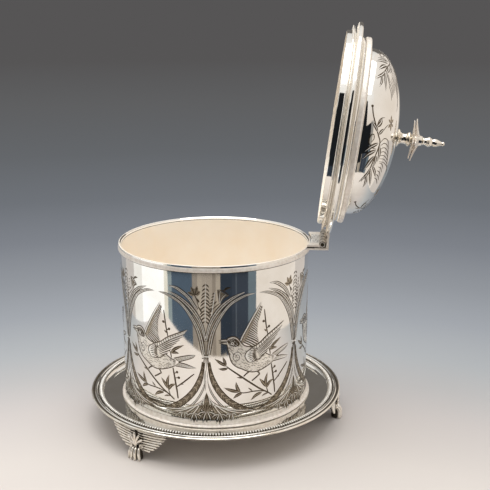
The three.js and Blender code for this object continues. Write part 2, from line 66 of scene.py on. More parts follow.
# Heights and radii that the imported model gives
DRUM_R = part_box("drum_wall")[1].x / MM
DRUM_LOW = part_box("drum_wall")[0].z / MM
WALL_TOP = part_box("drum_wall")[1].z / MM
FLOOR_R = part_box("drum_floor")[1].x / MM
RIM_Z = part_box("drum_rim_moulding")[1].z / MM
TABLE_Z = cad_box[0].z / MM
SEAT_GAP = 0.3  # between two pieces that touch

# The lid is drawn shut, in heights above its lower edge, and turned back about the hinge
HINGE = Vector((0, 80.8, 120.4))
OPEN_ANGLE = 97.3
LID_Z = RIM_Z + SEAT_GAP


def lid_place():
    turn = Matrix.Rotation(math.radians(-OPEN_ANGLE), 4, "X")
    lift = Matrix.Translation((0, 0, LID_Z))
    return Matrix.Translation(HINGE) @ turn @ Matrix.Translation(-HINGE) @ lift


LID = lid_place()
BASE = Matrix.Identity(4)


# Colours and node helpers


def srgb(code):
    """Linear colour of a hex code such as "d8d5cf"."""
    parts = [int(code[i : i + 2], 16) / 255 for i in (0, 2, 4)]
    return tuple(c / 12.92 if c <= 0.04045 else ((c + 0.055) / 1.055) ** 2.4 for c in parts) + (1.0,)


def node(tree, kind, inputs=None, stops=(), **settings):
    """Adds a node with its settings, its links or values, and a colour ramp's stops."""
    made = tree.nodes.new(kind)
    for key, value in settings.items():
        setattr(made, key, value)
    for key, value in (inputs or {}).items():
        if isinstance(value, bpy.types.NodeSocket):
            tree.links.new(value, made.inputs[key])
        else:
            made.inputs[key].default_value = value
    for i, (place, colour) in enumerate(stops):
        element = made.color_ramp.elements[i] if i < 2 else made.color_ramp.elements.new(place)
        element.position, element.color = place, srgb(colour)
    return made


def metal(name, clean, dull, roughness, tone_size=18, grain=0.05, grain_size=0.35, metallic=1.0):
    """A metal whose tone wanders between clean and dull, with fine wear in gloss and surface.

    Sizes are in millimetres: tone_size is a patch of tarnish, grain_size a polishing mark.
    """
    made = bpy.data.materials.new(name)
    made.use_nodes = True
    tree = made.node_tree
    shader = tree.nodes["Principled BSDF"]
    shader.inputs["Metallic"].default_value = metallic
    coords = node(tree, "ShaderNodeTexCoord").outputs["Object"]
    tarnish, wear, marks = (
        node(tree, "ShaderNodeTexNoise",
             {"Vector": coords, "Scale": 1 / (size * MM), "Detail": detail, "Roughness": 0.55}).outputs["Fac"]
        for size, detail in ((tone_size, 3), (grain_size * 6, 6), (grain_size, 2))
    )
    tone = node(tree, "ShaderNodeValToRGB", {"Fac": tarnish}, [(0.35, clean), (0.72, dull)])
    gloss = node(tree, "ShaderNodeMapRange", {"Value": wear, "To Min": roughness[0], "To Max": roughness[1]})
    bump = node(tree, "ShaderNodeBump", {"Height": marks, "Strength": grain, "Distance": 0.05 * MM})
    tree.links.new(tone.outputs["Color"], shader.inputs["Base Color"])
    tree.links.new(gloss.outputs["Result"], shader.inputs["Roughness"])
    tree.links.new(bump.outputs["Normal"], shader.inputs["Normal"])
    return made


SILVER = metal("polished_plate", "f3f1ec", "eae6de", (0.025, 0.075), grain=0.02)
TURNED = metal("turned_plate", "f3efe6", "e4dac8", (0.07, 0.16), tone_size=9, grain=0.06)
PLAIN = metal("satin_plate", "faf3ea", "e8ddd0", (0.25, 0.38), tone_size=2.5, grain=0.2, metallic=0.3)
CHASED = metal("chased_plate", "fffcf6", "5f5547", (0.2, 0.5), tone_size=1.5, grain=1.0, grain_size=0.5, metallic=0.3)
CAST = metal("cast_plate", "fffaf1", "e9dfce", (0.12, 0.24), tone_size=3, grain=0.15, grain_size=0.25, metallic=0.68)
GILT = metal("satin_gilt", "fff8ed", "fdf2e2", (0.4, 0.5), tone_size=26, grain=0.3, grain_size=0.12, metallic=0.15)
CUT = metal("cut_line", "6b5f4f", "42382b", (0.3, 0.45), tone_size=1.2, grain=0.3, grain_size=0.2)
GROUND = metal("cut_ground", "cbbfab", "7f7260", (0.3, 0.5), tone_size=0.9, grain=0.6, grain_size=0.3)
MATTED = metal("matted_plate", "fffbf3", "e2dacb", (0.3, 0.45), tone_size=0.8, grain=0.7, grain_size=0.3)
BRIGHT_CUT = metal("bright_cut", "fffdf8", "f3eee4", (0.3, 0.4), tone_size=1.5, grain=0.2, grain_size=0.3, metallic=0.7)
# Painted shade: a dark brown for hollows, gaps and grooves where shade falls, behind cast feathers and ribs, between
# knuckles and in bores
PAINTED_SHADE = metal("painted_recess_shade", "3b342a", "211c16", (0.4, 0.55), tone_size=1.5, metallic=0.6)
# Oxidised plate for the hinge pin, and painted shade for the seam under the drum's rim, the grooves of the tray's edge
# band and the bead seat
OXIDE_AND_PAINTED_SHADE = metal("oxidised_plate_and_painted_shade", "6c6252", "41392d", (0.35, 0.5), tone_size=1.5)
BRASS = metal("turned_brass", "c8a56a", "a8854c", (0.22, 0.36), tone_size=3, grain=0.2)


# Meshes


def finish_mesh(name, mesh, materials, body, replaced=()):
    """Makes a mesh one piece: smooth, with its materials, on the body that it rides on."""
    mesh.polygons.foreach_set("use_smooth", [True] * len(mesh.polygons))
    for material in materials:
        mesh.materials.append(material)
    piece = bpy.data.objects.new(name, mesh)
    bpy.context.collection.objects.link(piece)
    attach(piece, body)
    if replaced:
        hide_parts(*replaced)
    return piece


def mesh_of(name, points, faces, marks=None):
    """A mesh from places in millimetres, for castings and cuts that no operator shapes."""
    mesh = bpy.data.meshes.new(name)
    mesh.from_pydata([Vector(p) * MM for p in points], [], faces)
    if marks:
        mesh.polygons.foreach_set("material_index", marks)
    return mesh


def sharpen(piece, degrees):
    """Keeps a crease where two faces meet at more than this angle."""
    piece.data.set_sharp_from_angle(angle=math.radians(degrees))


def rounded(outline, radius=0.3, steps=3):
    """Corners of a closed outline [r, z] rounded off: points with the exact normal of each."""
    area = sum(a[0] * b[1] - b[0] * a[1] for a, b in zip(outline, outline[1:] + outline[:1]))
    corners = [Vector(p[:2]) for p in (outline if area > 0 else outline[::-1])]
    made = []
    for i, corner in enumerate(corners):
        before = corner - corners[i - 1]
        after = corners[(i + 1) % len(corners)] - corner
        d1, d2 = before.normalized(), after.normalized()
        turn = math.atan2(d1.x * d2.y - d1.y * d2.x, d1.dot(d2))
        n1, n2 = Vector((d1.y, -d1.x)), Vector((d2.y, -d2.x))
        if corner.x < 1e-6:
            made.append((corner, Vector((0, 1 if (n1 + n2).y > 0 else -1))))
            continue
        if abs(turn) < math.radians(9):
            made.append((corner, (n1 + n2).normalized()))
            continue
        reach = min(radius * math.tan(abs(turn) / 2), 0.42 * before.length, 0.42 * after.length)
        size = reach / math.tan(abs(turn) / 2)
        start = corner - d1 * reach
        side = 1 if turn > 0 else -1
        centre = start - n1 * size * side
        for k in range(steps + 1):
            angle = turn * k / steps
            n = Vector((n1.x * math.cos(angle) - n1.y * math.sin(angle), n1.x * math.sin(angle) + n1.y * math.cos(angle)))
            made.append((centre + n * size * side, n))
    return made


def spin(name, outline, body, place=BASE, materials=(SILVER,), mark=None, radius=0.3, steps=3,
         segments=SEGMENTS, replaced=None):
    """A ring turned from an outline, with exact normals, so that it mirrors without facets."""
    profile = rounded(outline, radius, steps)
    last = len(profile) - 1
    work = bmesh.new()
    order = work.verts.layers.int.new("order")
    loop = []
    for i, (centre, _) in enumerate(profile):
        loop.append(work.verts.new((centre.x, 0, centre.y)))
        loop[-1][order] = i
    edges = [work.edges.new((a, b)) for a, b in zip(loop, loop[1:] + loop[:1]) if a.co.x > 1e-6 or b.co.x > 1e-6]
    bmesh.ops.spin(work, geom=loop + edges, cent=(0, 0, 0), axis=(0, 0, 1), dvec=(0, 0, 0), angle=2 * math.pi,
                   space=BASE, steps=segments, use_merge=True, use_normal_flip=False, use_duplicate=False)
    bmesh.ops.remove_doubles(work, verts=[v for v in work.verts if v.co.xy.length < 1e-5], dist=1e-4)
    bmesh.ops.recalc_face_normals(work, faces=work.faces)
    for face in work.faces:
        numbers = sorted({v[order] for v in face.verts})
        first, second = numbers[0], numbers[-1]
        if (first, second) == (0, last):
            first, second = last, 0
        middle = (profile[first][0] + profile[second][0]) / 2
        lean = (profile[first][1] + profile[second][1]).normalized()
        face.material_index = mark(middle.x, middle.y, lean.x, lean.y) if mark else 0
    turn, normals = place.to_3x3(), []
    work.verts.index_update()
    for vert in work.verts:
        around = vert.co.xy.normalized()
        lean = profile[vert[order]][1]
        normals.append(turn @ Vector((lean.x * around.x, lean.x * around.y, lean.y)))
    work.verts.layers.int.remove(order)
    bmesh.ops.transform(work, matrix=Matrix.Scale(MM, 4) @ place, verts=work.verts)
    mesh = bpy.data.meshes.new(name)
    work.to_mesh(mesh)
    work.free()
    piece = finish_mesh(name, mesh, materials, body, replaced or ())
    piece.data.normals_split_custom_set_from_vertices(normals)
    return piece


def curve_through(points, per_span=6):
    """A smooth curve through the given points."""
    pts = [Vector(p) for p in points]
    if len(pts) < 3:
        return [pts[0].lerp(pts[-1], k / per_span) for k in range(per_span + 1)]
    ends = [2 * pts[0] - pts[1]] + pts + [2 * pts[-1] - pts[-2]]
    made = []
    for a, b, c, d in zip(ends, ends[1:], ends[2:], ends[3:]):
        for k in range(per_span):
            t = k / per_span
            made.append(
                0.5 * ((2 * b) + (c - a) * t + (2 * a - 5 * b + 4 * c - d) * t**2 + (3 * b - a - 3 * c + d) * t**3)
            )
    return made + [pts[-1]]


class Body:
    """Faces gathered for one cast or built-up piece."""

    def __init__(self):
        self.points, self.faces, self.marks = [], [], []

    def loft(self, sections, mark=0):
        """A closed body through sections that have the same number of points."""
        first, count = len(self.points), len(sections[0])
        for section in sections:
            self.points += [Vector(p) for p in section]
        for i in range(len(sections) - 1):
            for k in range(count):
                n = (k + 1) % count
                a, b = first + i * count, first + (i + 1) * count
                self.faces.append([a + k, a + n, b + n, b + k])
        for i, flip in ((0, True), (len(sections) - 1, False)):
            ring = [first + i * count + k for k in range(count)]
            centre = sum((self.points[v] for v in ring), Vector()) / count
            self.points.append(centre)
            for k in range(count):
                pair = [ring[k], ring[(k + 1) % count]]
                self.faces.append((pair[::-1] if flip else pair) + [len(self.points) - 1])
        self.marks += [mark] * (len(self.faces) - len(self.marks))

    def sausage(self, path, widths, depths, across, mark=0, count=14, sharp=1.0):
        """A tapering round-bellied form along a path, wide along across and deep square to it."""
        sections = []
        for i, centre in enumerate(path):
            ahead = (path[min(i + 1, len(path) - 1)] - path[max(i - 1, 0)]).normalized()
            side = Vector(across[i] if isinstance(across, list) else across)
            side = (side - side.dot(ahead) * ahead).normalized()
            out = ahead.cross(side)
            ring = []
            for k in range(count):
                angle = 2 * math.pi * k / count
                c, s = math.cos(angle), math.sin(angle)
                s = math.copysign(abs(s) ** sharp, s)
                ring.append(centre + side * c * widths[i] + out * s * depths[i])
            sections.append(ring)
        self.loft(sections, mark)

    def block(self, outline, x0, x1, mark=0):
        """A prism along X from an outline [y, z]."""
        self.loft([[(x, y, z) for y, z in outline] for x in (x0, x1)], mark)

    def moved(self, change):
        self.points = [change(p) for p in self.points]
        return self

    def piece(self, name, materials, body, replaced=(), crease=40, slot="silver_plate", bevel=0.0):
        mesh = mesh_of(name, self.points, self.faces, self.marks)
        made = finish_mesh(name, mesh, materials, body, replaced)
        work = bmesh.new()
        work.from_mesh(made.data)
        bmesh.ops.recalc_face_normals(work, faces=work.faces)
        work.to_mesh(made.data)
        work.free()
        if bevel:
            step = made.modifiers.new("edges", "BEVEL")
            step.width, step.segments, step.angle_limit = bevel * MM, 2, math.radians(35)
            step.harden_normals = False
        sharpen(made, crease)
        return made


# Drum


def gilt_inside(r, z, nr, nz):
    return 1 if nr < -0.4 else 0


def drum():
    inside = DRUM_R - 1
    spin("drum_wall_sheet", [(inside, DRUM_LOW), (DRUM_R, DRUM_LOW), (DRUM_R, WALL_TOP), (inside, WALL_TOP)],
         "base", materials=(SILVER, GILT), mark=gilt_inside, radius=0.15, replaced=["drum_wall"])
    spin("drum_floor_disc", [(0, -1.2), (FLOOR_R, -1.2), (FLOOR_R, 0), (0, 0)], "base",
         materials=(GILT,), radius=0.2, replaced=["drum_floor"])
    rim = [(70.45, 112.3), (70.75, 112.3), (70.85, 112.9), (71.6, 113.0), (72.0, 113.4), (72.0, 114.2), (71.75, 115.4), (71.4, 116.2),
           (71.45, 117.25), (71.2, 117.6), (70.8, 117.7), (69.9, 116.7), (69.4, 115.8), (70.7, 115.8), (70.7, 113.3), (70.45, 113.3)]

    def rim_mark(r, z, nr, nz):
        if z > 117.3 or r < 70.2 and nr < 0:
            return 1
        # the foot of the band, where it meets the wall, takes a painted shadow line
        if z < 113.05 and r < 71.5:
            return 2
        return 3 if 113.2 < z < 116.1 and nr > 0 and r > 71.2 else 0

    spin("drum_rim_band", rim, "base", materials=(SILVER, GILT, OXIDE_AND_PAINTED_SHADE, PLAIN), radius=0.2, mark=rim_mark, replaced=["drum_rim_moulding"])
    foot = [(70.7, -2.6), (73.2, -2.6), (73.2, -1.9), (72.4, -1.75), (71.7, -1.4), (71.35, -0.8), (71.2, 0.1), (71.13, 1.0),
            (71.1, 2.0), (70.7, 2.0)]
    spin("drum_foot_band", foot, "base", radius=0.4, materials=(PLAIN,), replaced=["drum_foot_ring"])


# Tray


def tray():
    flat, cove, inner, edge, thick = 85.0, 3.4, 88.4, 95.0, 0.9
    top = [(flat + cove * math.sin(math.radians(a)), -2.9 + 2.6 * (1 - math.cos(math.radians(a)))) for a in range(0, 91, 9)]
    upper = [(2.3, -2.9)] + top + [(edge, -0.3)]
    lower = [(r + (0.35 if 85.5 < r < 88.3 else 0), z - thick) for r, z in reversed(upper)]
    spin("tray_flat_dish", upper + lower, "base", radius=0.25, replaced=["tray_dish"])
    band = [(91.2, 0), (91.25, 0.5), (91.9, 0.62), (92.5, 0.75), (93.0, 1.3), (93.5, 1.4), (94.0, 1.3), (94.5, 0.75),
            (95.1, 0.62), (95.7, 0.95), (96.4, 1.1), (97.0, 0.7), (97.2, 0.1), (97.0, -0.6), (95.3, -0.6), (95.3, 0)]

    def band_mark(r, z, nr, nz):
        # the inner side by the beads, the groove before the outer bead and the underside of the edge take painted shade
        if r < 91.95 and z > 0.2 or 94.4 < r < 95.6 and z > 0.3 or r > 96.9 and z < 0.0:
            return 1
        return 2 if r > 95.4 and z > 0 else 0

    spin("tray_edge_band", band, "base", radius=0.5, materials=(SILVER, OXIDE_AND_PAINTED_SHADE, TURNED), mark=band_mark, replaced=["tray_rim_band"])
    bead_border()


def bead_border():
    """A row of small beads, longer outwards than along the row, in a shallow seat coloured dark as painted shade."""
    ring, count, low = 89.65, 278, 0.0
    size = Matrix.Diagonal((1.5, 0.66, 0.93, 1))
    work = bmesh.new()
    first = Matrix.Scale(MM, 4) @ Matrix.Rotation(math.pi / count, 4, "Z") @ Matrix.Translation((ring, 0, 0.95)) @ size
    bmesh.ops.create_uvsphere(work, u_segments=10, v_segments=7, radius=1, matrix=first)
    bead = work.verts[:] + work.edges[:] + work.faces[:]
    bmesh.ops.spin(work, geom=bead, cent=(0, 0, 0), axis=(0, 0, 1), dvec=(0, 0, 0), angle=2 * math.pi * (count - 1) / count,
                   space=BASE, steps=count - 1, use_merge=False, use_normal_flip=False, use_duplicate=True)
    mesh = bpy.data.meshes.new("tray_bead_row")
    work.to_mesh(mesh)
    work.free()
    finish_mesh("tray_bead_row", mesh, (BRIGHT_CUT,), "base", ["tray_bead_border"])
    spin("tray_bead_seat", [(88.4, low), (91.0, low), (90.9, 0.3), (90.6, 0.95), (88.8, 0.95), (88.5, 0.3)],
         "base", radius=0.15, materials=(OXIDE_AND_PAINTED_SHADE,))


# Lid


def inner_side(r, z, nr, nz):
    return 1 if nr * 0.6 + nz < -0.15 else 0


def dome_profile(radius, rise, power, steps=56):
    made = []
    for k in range(steps + 1):
        angle = math.pi / 2 * k / steps
        made.append((radius * math.cos(angle) ** (2 / power), rise * math.sin(angle) ** (2 / power)))
    return made


DOME_R, DOME_RISE, DOME_POWER, DOME_LOW = 58.3, 27.4, 2.15, 15.0


def lid():
    bezel = [(67.3, -3.7), (68.0, -3.7), (68.2, -3.3), (68.2, 4.4), (67.3, 4.4)]
    spin("lid_bezel_ring", bezel, "lid", LID, (SILVER, GILT), gilt_inside, replaced=["lid_bezel"], radius=0.2)
    cove = [(73.8 - 9.2 * math.sin(math.radians(a)), 6.6 + 3.3 * (1 - math.cos(math.radians(a)))) for a in range(0, 91, 9)]
    outer = [(68.5, 0), (71.6, 0), (72.0, 0.4), (72.0, 0.8), (71.6, 1.2), (69.9, 1.35), (69.7, 2.2), (70.2, 3.0), (73.6, 3.5),
             (74.3, 3.8), (74.6, 4.4), (74.6, 5.6), (74.3, 6.2)] + cove
    inner = [(64.6, 8.9)] + [(r - 0.2, z - 1.0) for r, z in reversed(cove[1:-1])] + [(72.0, 5.2), (68.5, 3.4)]
    spin("lid_rim_rings", outer + inner, "lid", LID, (SILVER, GILT), inner_side, replaced=["lid_rim_moulding"], radius=0.35)
    shoulder = [(63.4, 10.2), (64.6, 10.2), (65.3, 10.8), (65.3, 13.3), (64.7, 14.0), (60.5, 14.0), (58.9, 14.7), (56.7, 14.7),
                (56.7, 13.7), (58.8, 13.7), (60.3, 13.0), (63.9, 13.0)]
    spin("lid_shoulder_band", shoulder, "lid", LID, (PLAIN, GILT), inner_side, replaced=["lid_shoulder_ring"], radius=0.35)
    outside = [(r, z + DOME_LOW) for r, z in dome_profile(DOME_R, DOME_RISE, DOME_POWER) if r > 1.8]
    inside = [(r, z + DOME_LOW) for r, z in dome_profile(DOME_R - 1, DOME_RISE - 1, DOME_POWER) if r > 1.8]
    top = [(1.8, DOME_LOW + DOME_RISE), (1.8, DOME_LOW + DOME_RISE - 1)]
    spin("lid_dome_sheet", outside + top + inside[::-1], "lid", LID, (SILVER, GILT), inner_side, replaced=["lid_dome"], radius=0.1)


# Finial

FINIAL_LOW = 42.7


def finial():
    neck, r, h = 3.6, 6.5, 10.2
    base = [(1.8, 0), (0.95 * r, 0), (r, 0.06 * h), (0.92 * r, 0.13 * h), (neck + 0.35 * (r - neck), 0.2 * h), (neck + 0.2, 0.3 * h),
            (neck, 0.42 * h), (neck, 0.58 * h), (1.1 * neck, 0.66 * h), (1.38 * neck, 0.75 * h), (1.42 * neck, 0.83 * h),
            (1.3 * neck, 0.9 * h), (0.9 * neck, h), (1.8, h)]
    spin("finial_turned_base", [(a, b + FINIAL_LOW) for a, b in base], "lid", LID, (TURNED,), radius=0.7, steps=4,
         segments=SMALL_SEGMENTS, replaced=["finial_base"])
    r, h, low = 3.7, 15.8, 61.0
    spire = [(0, 0), (0.82 * r, 0), (0.62 * r, 0.08 * h), (0.78 * r, 0.18 * h), (r, 0.27 * h), (0.85 * r, 0.35 * h), (0.6 * r, 0.43 * h),
             (0.78 * r, 0.53 * h), (0.72 * r, 0.63 * h), (0.5 * r, 0.76 * h), (0.34 * r, 0.86 * h), (0.42 * r, 0.925 * h),
             (0.3 * r, 0.98 * h), (0, h)]
    spin("finial_turned_spire", [(a, b + low) for a, b in spire], "lid", LID, (TURNED,), radius=0.6, steps=4,
         segments=SMALL_SEGMENTS, replaced=["finial_spire"])
    leaf_collar()


def leaf_collar():
    """Two tiers of four pointed leaves that droop towards the dome, thick at their roots."""
    low, high, hub = 53.2, 7.5, 3.1
    collar = Body()
    for reach, root, tip, body in ((15.0, 4.1, 1.5, 2.6), (13.7, 1.9, 0.0, 1.5)):
        for q in range(4):
            angle = math.radians(90 * q)
            along = Vector((math.cos(angle), math.sin(angle), 0))
            side = Vector((-along.y, along.x, 0))
            sections = []
            for k in range(15):
                t = k / 14
                p = along * (1 + (reach - 1) * t) + Vector((0, 0, low + root + (tip - root) * t**0.8))
                wide = max(0.12, 3.6 * math.sin(math.pi * min(1, 0.28 + 0.72 * t)) ** 0.8)
                thick = 0.4 + body * (1 - t) ** 1.7
                ring = [(-1, 0), (-0.55, 0.8), (0, 0.62), (0.55, 0.8), (1, 0), (0.55, -0.8), (0, -1), (-0.55, -0.8)]
                sections.append([p + side * c * wide + Vector((0, 0, z * thick)) for c, z in ring])
            collar.loft(sections)
    collar.moved(lambda p: LID @ p)
    collar.piece("finial_leaves", (PLAIN,), "lid", ["finial_leaf_collar"], crease=60)
    outline = [(1.8, low), (hub, low), (hub + 0.9, low + 1.6), (hub + 0.9, low + 4.4), (hub + 0.2, high + low), (1.8, low + high)]
    spin("finial_leaf_hub", outline, "lid", LID, (TURNED,), radius=0.5, segments=SMALL_SEGMENTS)


# Feet


def wing_edge(z):
    """How far out a wing reaches at a height, down to beside the paw."""
    t = min(1, max(0, (-3.1 - z) / 14.4))
    for _ in range(8):
        t -= (-3.1 * (1 - t) ** 2 - 31.8 * t * (1 - t) - 17.5 * t * t - z) / (-25.6 + 34.8 * t - 9.0)
        t = min(1, max(0, t))
    return 26.2 * (1 - t) ** 2 + 33.4 * t * (1 - t) + 8.6 * t * t


def wings(cast):
    """Rows of long feathers over a ground dark with painted shade, with tips that step down to the ankle."""
    for side in (-1, 1):
        for k in range(8):
            z = -2.7 - 1.98 * k
            end = wing_edge(z) + 0.3
            path, widths, depths = [], [], []
            for i in range(15):
                t = i / 14
                path.append(Vector((side * (1.5 + (end - 1.5) * t), -0.2 + 0.5 * t * t, z + (1.2 - 0.14 * k) * t * t)))
                tip = math.sqrt(max(0.0, 1 - ((t - 0.86) / 0.145) ** 2)) if t > 0.86 else 1.0
                widths.append(max(0.08, (0.62 + 0.26 * t * t) * tip))
                depths.append(max(0.08, 0.8 * (0.4 + 0.6 * tip)))
            cast.sausage(path, widths, depths, (0, 0, 1), count=10)
    rows = []
    for i in range(17):
        z = -1.5 - 16.0 * i / 16
        wide = wing_edge(z) - 1.1
        rows.append([(-wide, -1.2, z), (wide, -1.2, z), (wide, -0.45, z), (-wide, -0.45, z)])
    cast.loft(rows, mark=1)


def palmette(cast):
    """Ribs that open upwards from the ankle over a ground dark with painted shade, with a small scroll at each side."""
    base = -15.2
    shield = []
    for z, wide in ((-3.6, 5.4), (-6.0, 6.6), (-9, 5.6), (-12, 3.9), (base, 2.8)):
        shield.append([(-wide, -0.6, z), (wide, -0.6, z), (wide, 0.55, z), (-wide, 0.55, z)])
    cast.loft(shield, mark=1)
    for lean, length in ((-42, 10.0), (-21, 11.6), (0, 12.2), (21, 11.6), (42, 10.0)):
        path, widths, depths = [], [], []
        for i in range(13):
            t = i / 12
            turn = math.radians(lean) * (0.3 + 0.7 * t)
            out = 0.9 + 1.0 * math.sin(math.pi * t * 0.8) + 0.9 * t * t
            path.append(Vector((math.sin(turn) * length * t, out, base + length * t * math.cos(turn))))
            round_tip = min(1, 6 * (1 - t) + 0.1) ** 0.5
            widths.append((0.42 + 0.62 * t) * round_tip)
            depths.append(1.0 * round_tip)
        cast.sausage(path, widths, depths, (1, 0, 0), count=10)
    for side in (-1, 1):
        scroll = []
        for i in range(15):
            a = math.radians(-100 + 330 * i / 14)
            size = 1.5 - 0.055 * i
            scroll.append(Vector((side * (4.4 + size * math.cos(a)), 0.9 + 0.04 * i, -13.6 + size * math.sin(a))))
        cast.sausage(scroll, [0.48] * 15, [0.55] * 15, (0, 1, 0), count=8)


def paw(cast):
    """A pad dark with painted shade on a flat sole, with four separate toes over it and a claw on each."""
    pad = []
    for z, wide, deep, out in ((-13.6, 2.8, 1.2, 0.2), (-15.2, 3.2, 1.9, 0.6), (-16.6, 4.5, 2.8, 0.8), (-19.5, 5.0, 3.4, 0.8), (-22.5, 5.1, 3.4, 0.6),
                               (-23.6, 4.9, 3.2, 0.6), (-24.1, 4.2, 2.7, 0.6)):
        pad.append([(math.cos(a) * wide, out + math.sin(a) * deep, z) for a in [2 * math.pi * i / 24 for i in range(24)]])
    cast.loft(pad, mark=1)
    for k in range(4):
        t = -4.2 + 2.8 * k
        back = 0.06 * t * t
        rows = [(0.72 * t, 1.6, -15.3), (0.84 * t, 3.4, -16.1), (0.95 * t, 4.5, -18.2), (t, 4.6, -20.4), (1.04 * t, 4.5, -22.4), (1.04 * t, 4.2, -23.5)]
        path = curve_through([(x, y - back, z) for x, y, z in rows], 4)
        n = len(path)
        widths = [0.95 * math.sin(math.pi * (0.1 + 0.72 * i / (n - 1))) ** 0.55 for i in range(n)]
        depths = [1.3 * math.sin(math.pi * (0.2 + 0.62 * i / (n - 1))) ** 0.5 for i in range(n)]
        cast.sausage(path, widths, depths, (1, 0, 0), count=12)
        claw = curve_through([(1.04 * t, 4.9 - back, -22.3), (1.05 * t, 5.7 - back, -23.0), (1.05 * t, 5.8 - back, -23.8)], 4)
        n = len(claw)
        cast.sausage(claw, [0.66 - 0.045 * i for i in range(n)], [0.55 - 0.035 * i for i in range(n)], (1, 0, 0), count=8)


def foot(name, angle, replaced):
    """One cast foot, drawn flat: across to the left, out, up; then bent round the tray."""
    front = 93.8
    cast = Body()
    wings(cast)
    palmette(cast)
    paw(cast)

    def bend(p):
        a = math.radians(angle) - p.x / front
        out = front + p.y
        return Vector((out * math.cos(a), out * math.sin(a), max(p.z, TABLE_Z)))

    cast.moved(bend)
    # the second material is painted shade on the grounds behind the feathers and ribs and on the pad between the toes
    return cast.piece(name, (CAST, PAINTED_SHADE), "base", replaced, crease=70)


# Hinge


def hinge():
    y0, z0 = HINGE.y, HINGE.z
    rim_back = 72.3
    length, count, gap = 38.0, 5, 0.3
    knuckle = (length - (count - 1) * gap) / count

    def lid_turn(p):
        return Matrix.Translation(HINGE) @ Matrix.Rotation(math.radians(-OPEN_ANGLE), 4, "X") @ Matrix.Translation(-HINGE) @ Vector(p)

    def tube(body, x0, x1):
        """A knuckle with its bore, along X between two places."""
        outer, inner, n = 2.4, 1.5, 40
        c = 0.5
        outline = [(x0, inner), (x0, outer - c), (x0 + c, outer), (x1 - c, outer), (x1, outer - c), (x1, inner)]
        first = len(body.points)
        for x, r in outline:
            for k in range(n):
                a = 2 * math.pi * k / n
                p = Vector((x, y0 + r * math.cos(a), z0 + r * math.sin(a)))
                body.points.append(p)
        m = len(outline)
        for i in range(m):
            j = (i + 1) % m
            for k in range(n):
                q = (k + 1) % n
                body.faces.append([first + i * n + k, first + i * n + q, first + j * n + q, first + j * n + k])
                # end faces plain and outer face cast; the chamfers between the knuckles and the bore take painted shade
                body.marks.append({0: 0, 2: 3, 4: 0}.get(i, 1))

    def curved_front(width, y_back, z_low, z_high, radius):
        """Plate whose front follows a round of the given radius about the drum's axis."""
        steps = 24
        sections = []
        for i in range(steps + 1):
            x = -width / 2 + width * i / steps
            y = math.sqrt(radius**2 - x * x)
            sections.append([(x, y, z_low), (x, y, z_high), (x, y_back, z_high), (x, y_back, z_low)])
        return sections

    leaf = Body()
    top, thick = z0 - 0.3, 1.4
    leaf.loft(curved_front(length, y0 - 2.75, top - thick, top, rim_back))
    for k, face in enumerate(leaf.faces):
        if all(leaf.points[v].z > top - 0.01 for v in face) and abs(leaf.points[face[0]].x) < 12.5:
            leaf.marks[k] = 2
    strap_top = z0 - 2.8
    leaf.loft(curved_front(length, y0 + 4.57, strap_top - 1.2, strap_top, rim_back), mark=0)
    # a set-back face between plate and strap, in painted shade for the dark gap between them
    leaf.loft([[(x, math.sqrt(rim_back**2 - x * x), strap_top - 0.1), (x, math.sqrt(rim_back**2 - x * x), top - thick + 0.1),
                (x, y0 - 5.8, top - thick + 0.1), (x, y0 - 5.8, strap_top - 0.1)] for x in [-18.95 + 37.9 * i / 24 for i in range(25)]], mark=1)
    for i in (0, 2, 4):
        x = -length / 2 + i * (knuckle + gap)
        tube(leaf, x, x + knuckle)
        leaf.block([(y0 - 2.9, z0 - 2.0), (y0 - 2.9, top), (y0 - 1.9, top - 0.2), (y0 - 1.9, z0 - 1.9)], x + 0.1, x + knuckle - 0.1)
    leaf.piece("hinge_drum_plate", (PLAIN, PAINTED_SHADE, CHASED, CAST), "base", ["hinge_drum_leaf"], crease=35)

    pin = Body()
    rings = []
    for x, r in ((-length / 2 + 0.6, 0.9), (-length / 2 + 0.8, 1.2), (length / 2 - 0.8, 1.2), (length / 2 - 0.6, 0.9)):
        rings.append([(x, y0 + r * math.cos(a), z0 + r * math.sin(a)) for a in [2 * math.pi * k / 32 for k in range(32)]])
    pin.loft(rings)
    pin.piece("hinge_pin_rod", (OXIDE_AND_PAINTED_SHADE,), "base", ["hinge_pin"], crease=50, slot="nickel")

    upper = Body()
    low, high = z0 + 2.9, z0 + 4.1
    upper.loft(curved_front(length, y0 + 2.0, low, high, 74.9))
    for i in (1, 3):
        x = -length / 2 + i * (knuckle + gap)
        tube(upper, x, x + knuckle)
        upper.block([(y0 - 1.0, z0 + 2.0), (y0 - 1.0, low + 0.1), (y0 + 1.0, low + 0.1), (y0 + 1.0, z0 + 2.0)], x + 0.1, x + knuckle - 0.1)
    upper.moved(lid_turn)
    upper.piece("hinge_lid_plate", (PLAIN, PAINTED_SHADE, CHASED, CAST), "lid", ["hinge_lid_leaf"], crease=35)


# Engraving, drawn flat in millimetres to the right and up, then laid on the wall or the dome

DARK, SHADE, PALE, BRIGHT = range(4)
CUT_MATERIALS = (CUT, GROUND, MATTED, BRIGHT_CUT)


def even(points, count):
    """Places spread evenly along a smooth curve through the points."""
    path = curve_through([Vector(p) for p in points])
    lengths = [0.0]
    for a, b in zip(path, path[1:]):
        lengths.append(lengths[-1] + (b - a).length)
    made, i = [], 0
    for k in range(count):
        want = lengths[-1] * k / (count - 1)
        while i < len(path) - 2 and lengths[i + 1] < want:
            i += 1
        made.append(path[i].lerp(path[i + 1], (want - lengths[i]) / max(1e-6, lengths[i + 1] - lengths[i])))
    return made


def reach(points):
    return sum((Vector(a) - Vector(b)).length for a, b in zip(points, points[1:]))


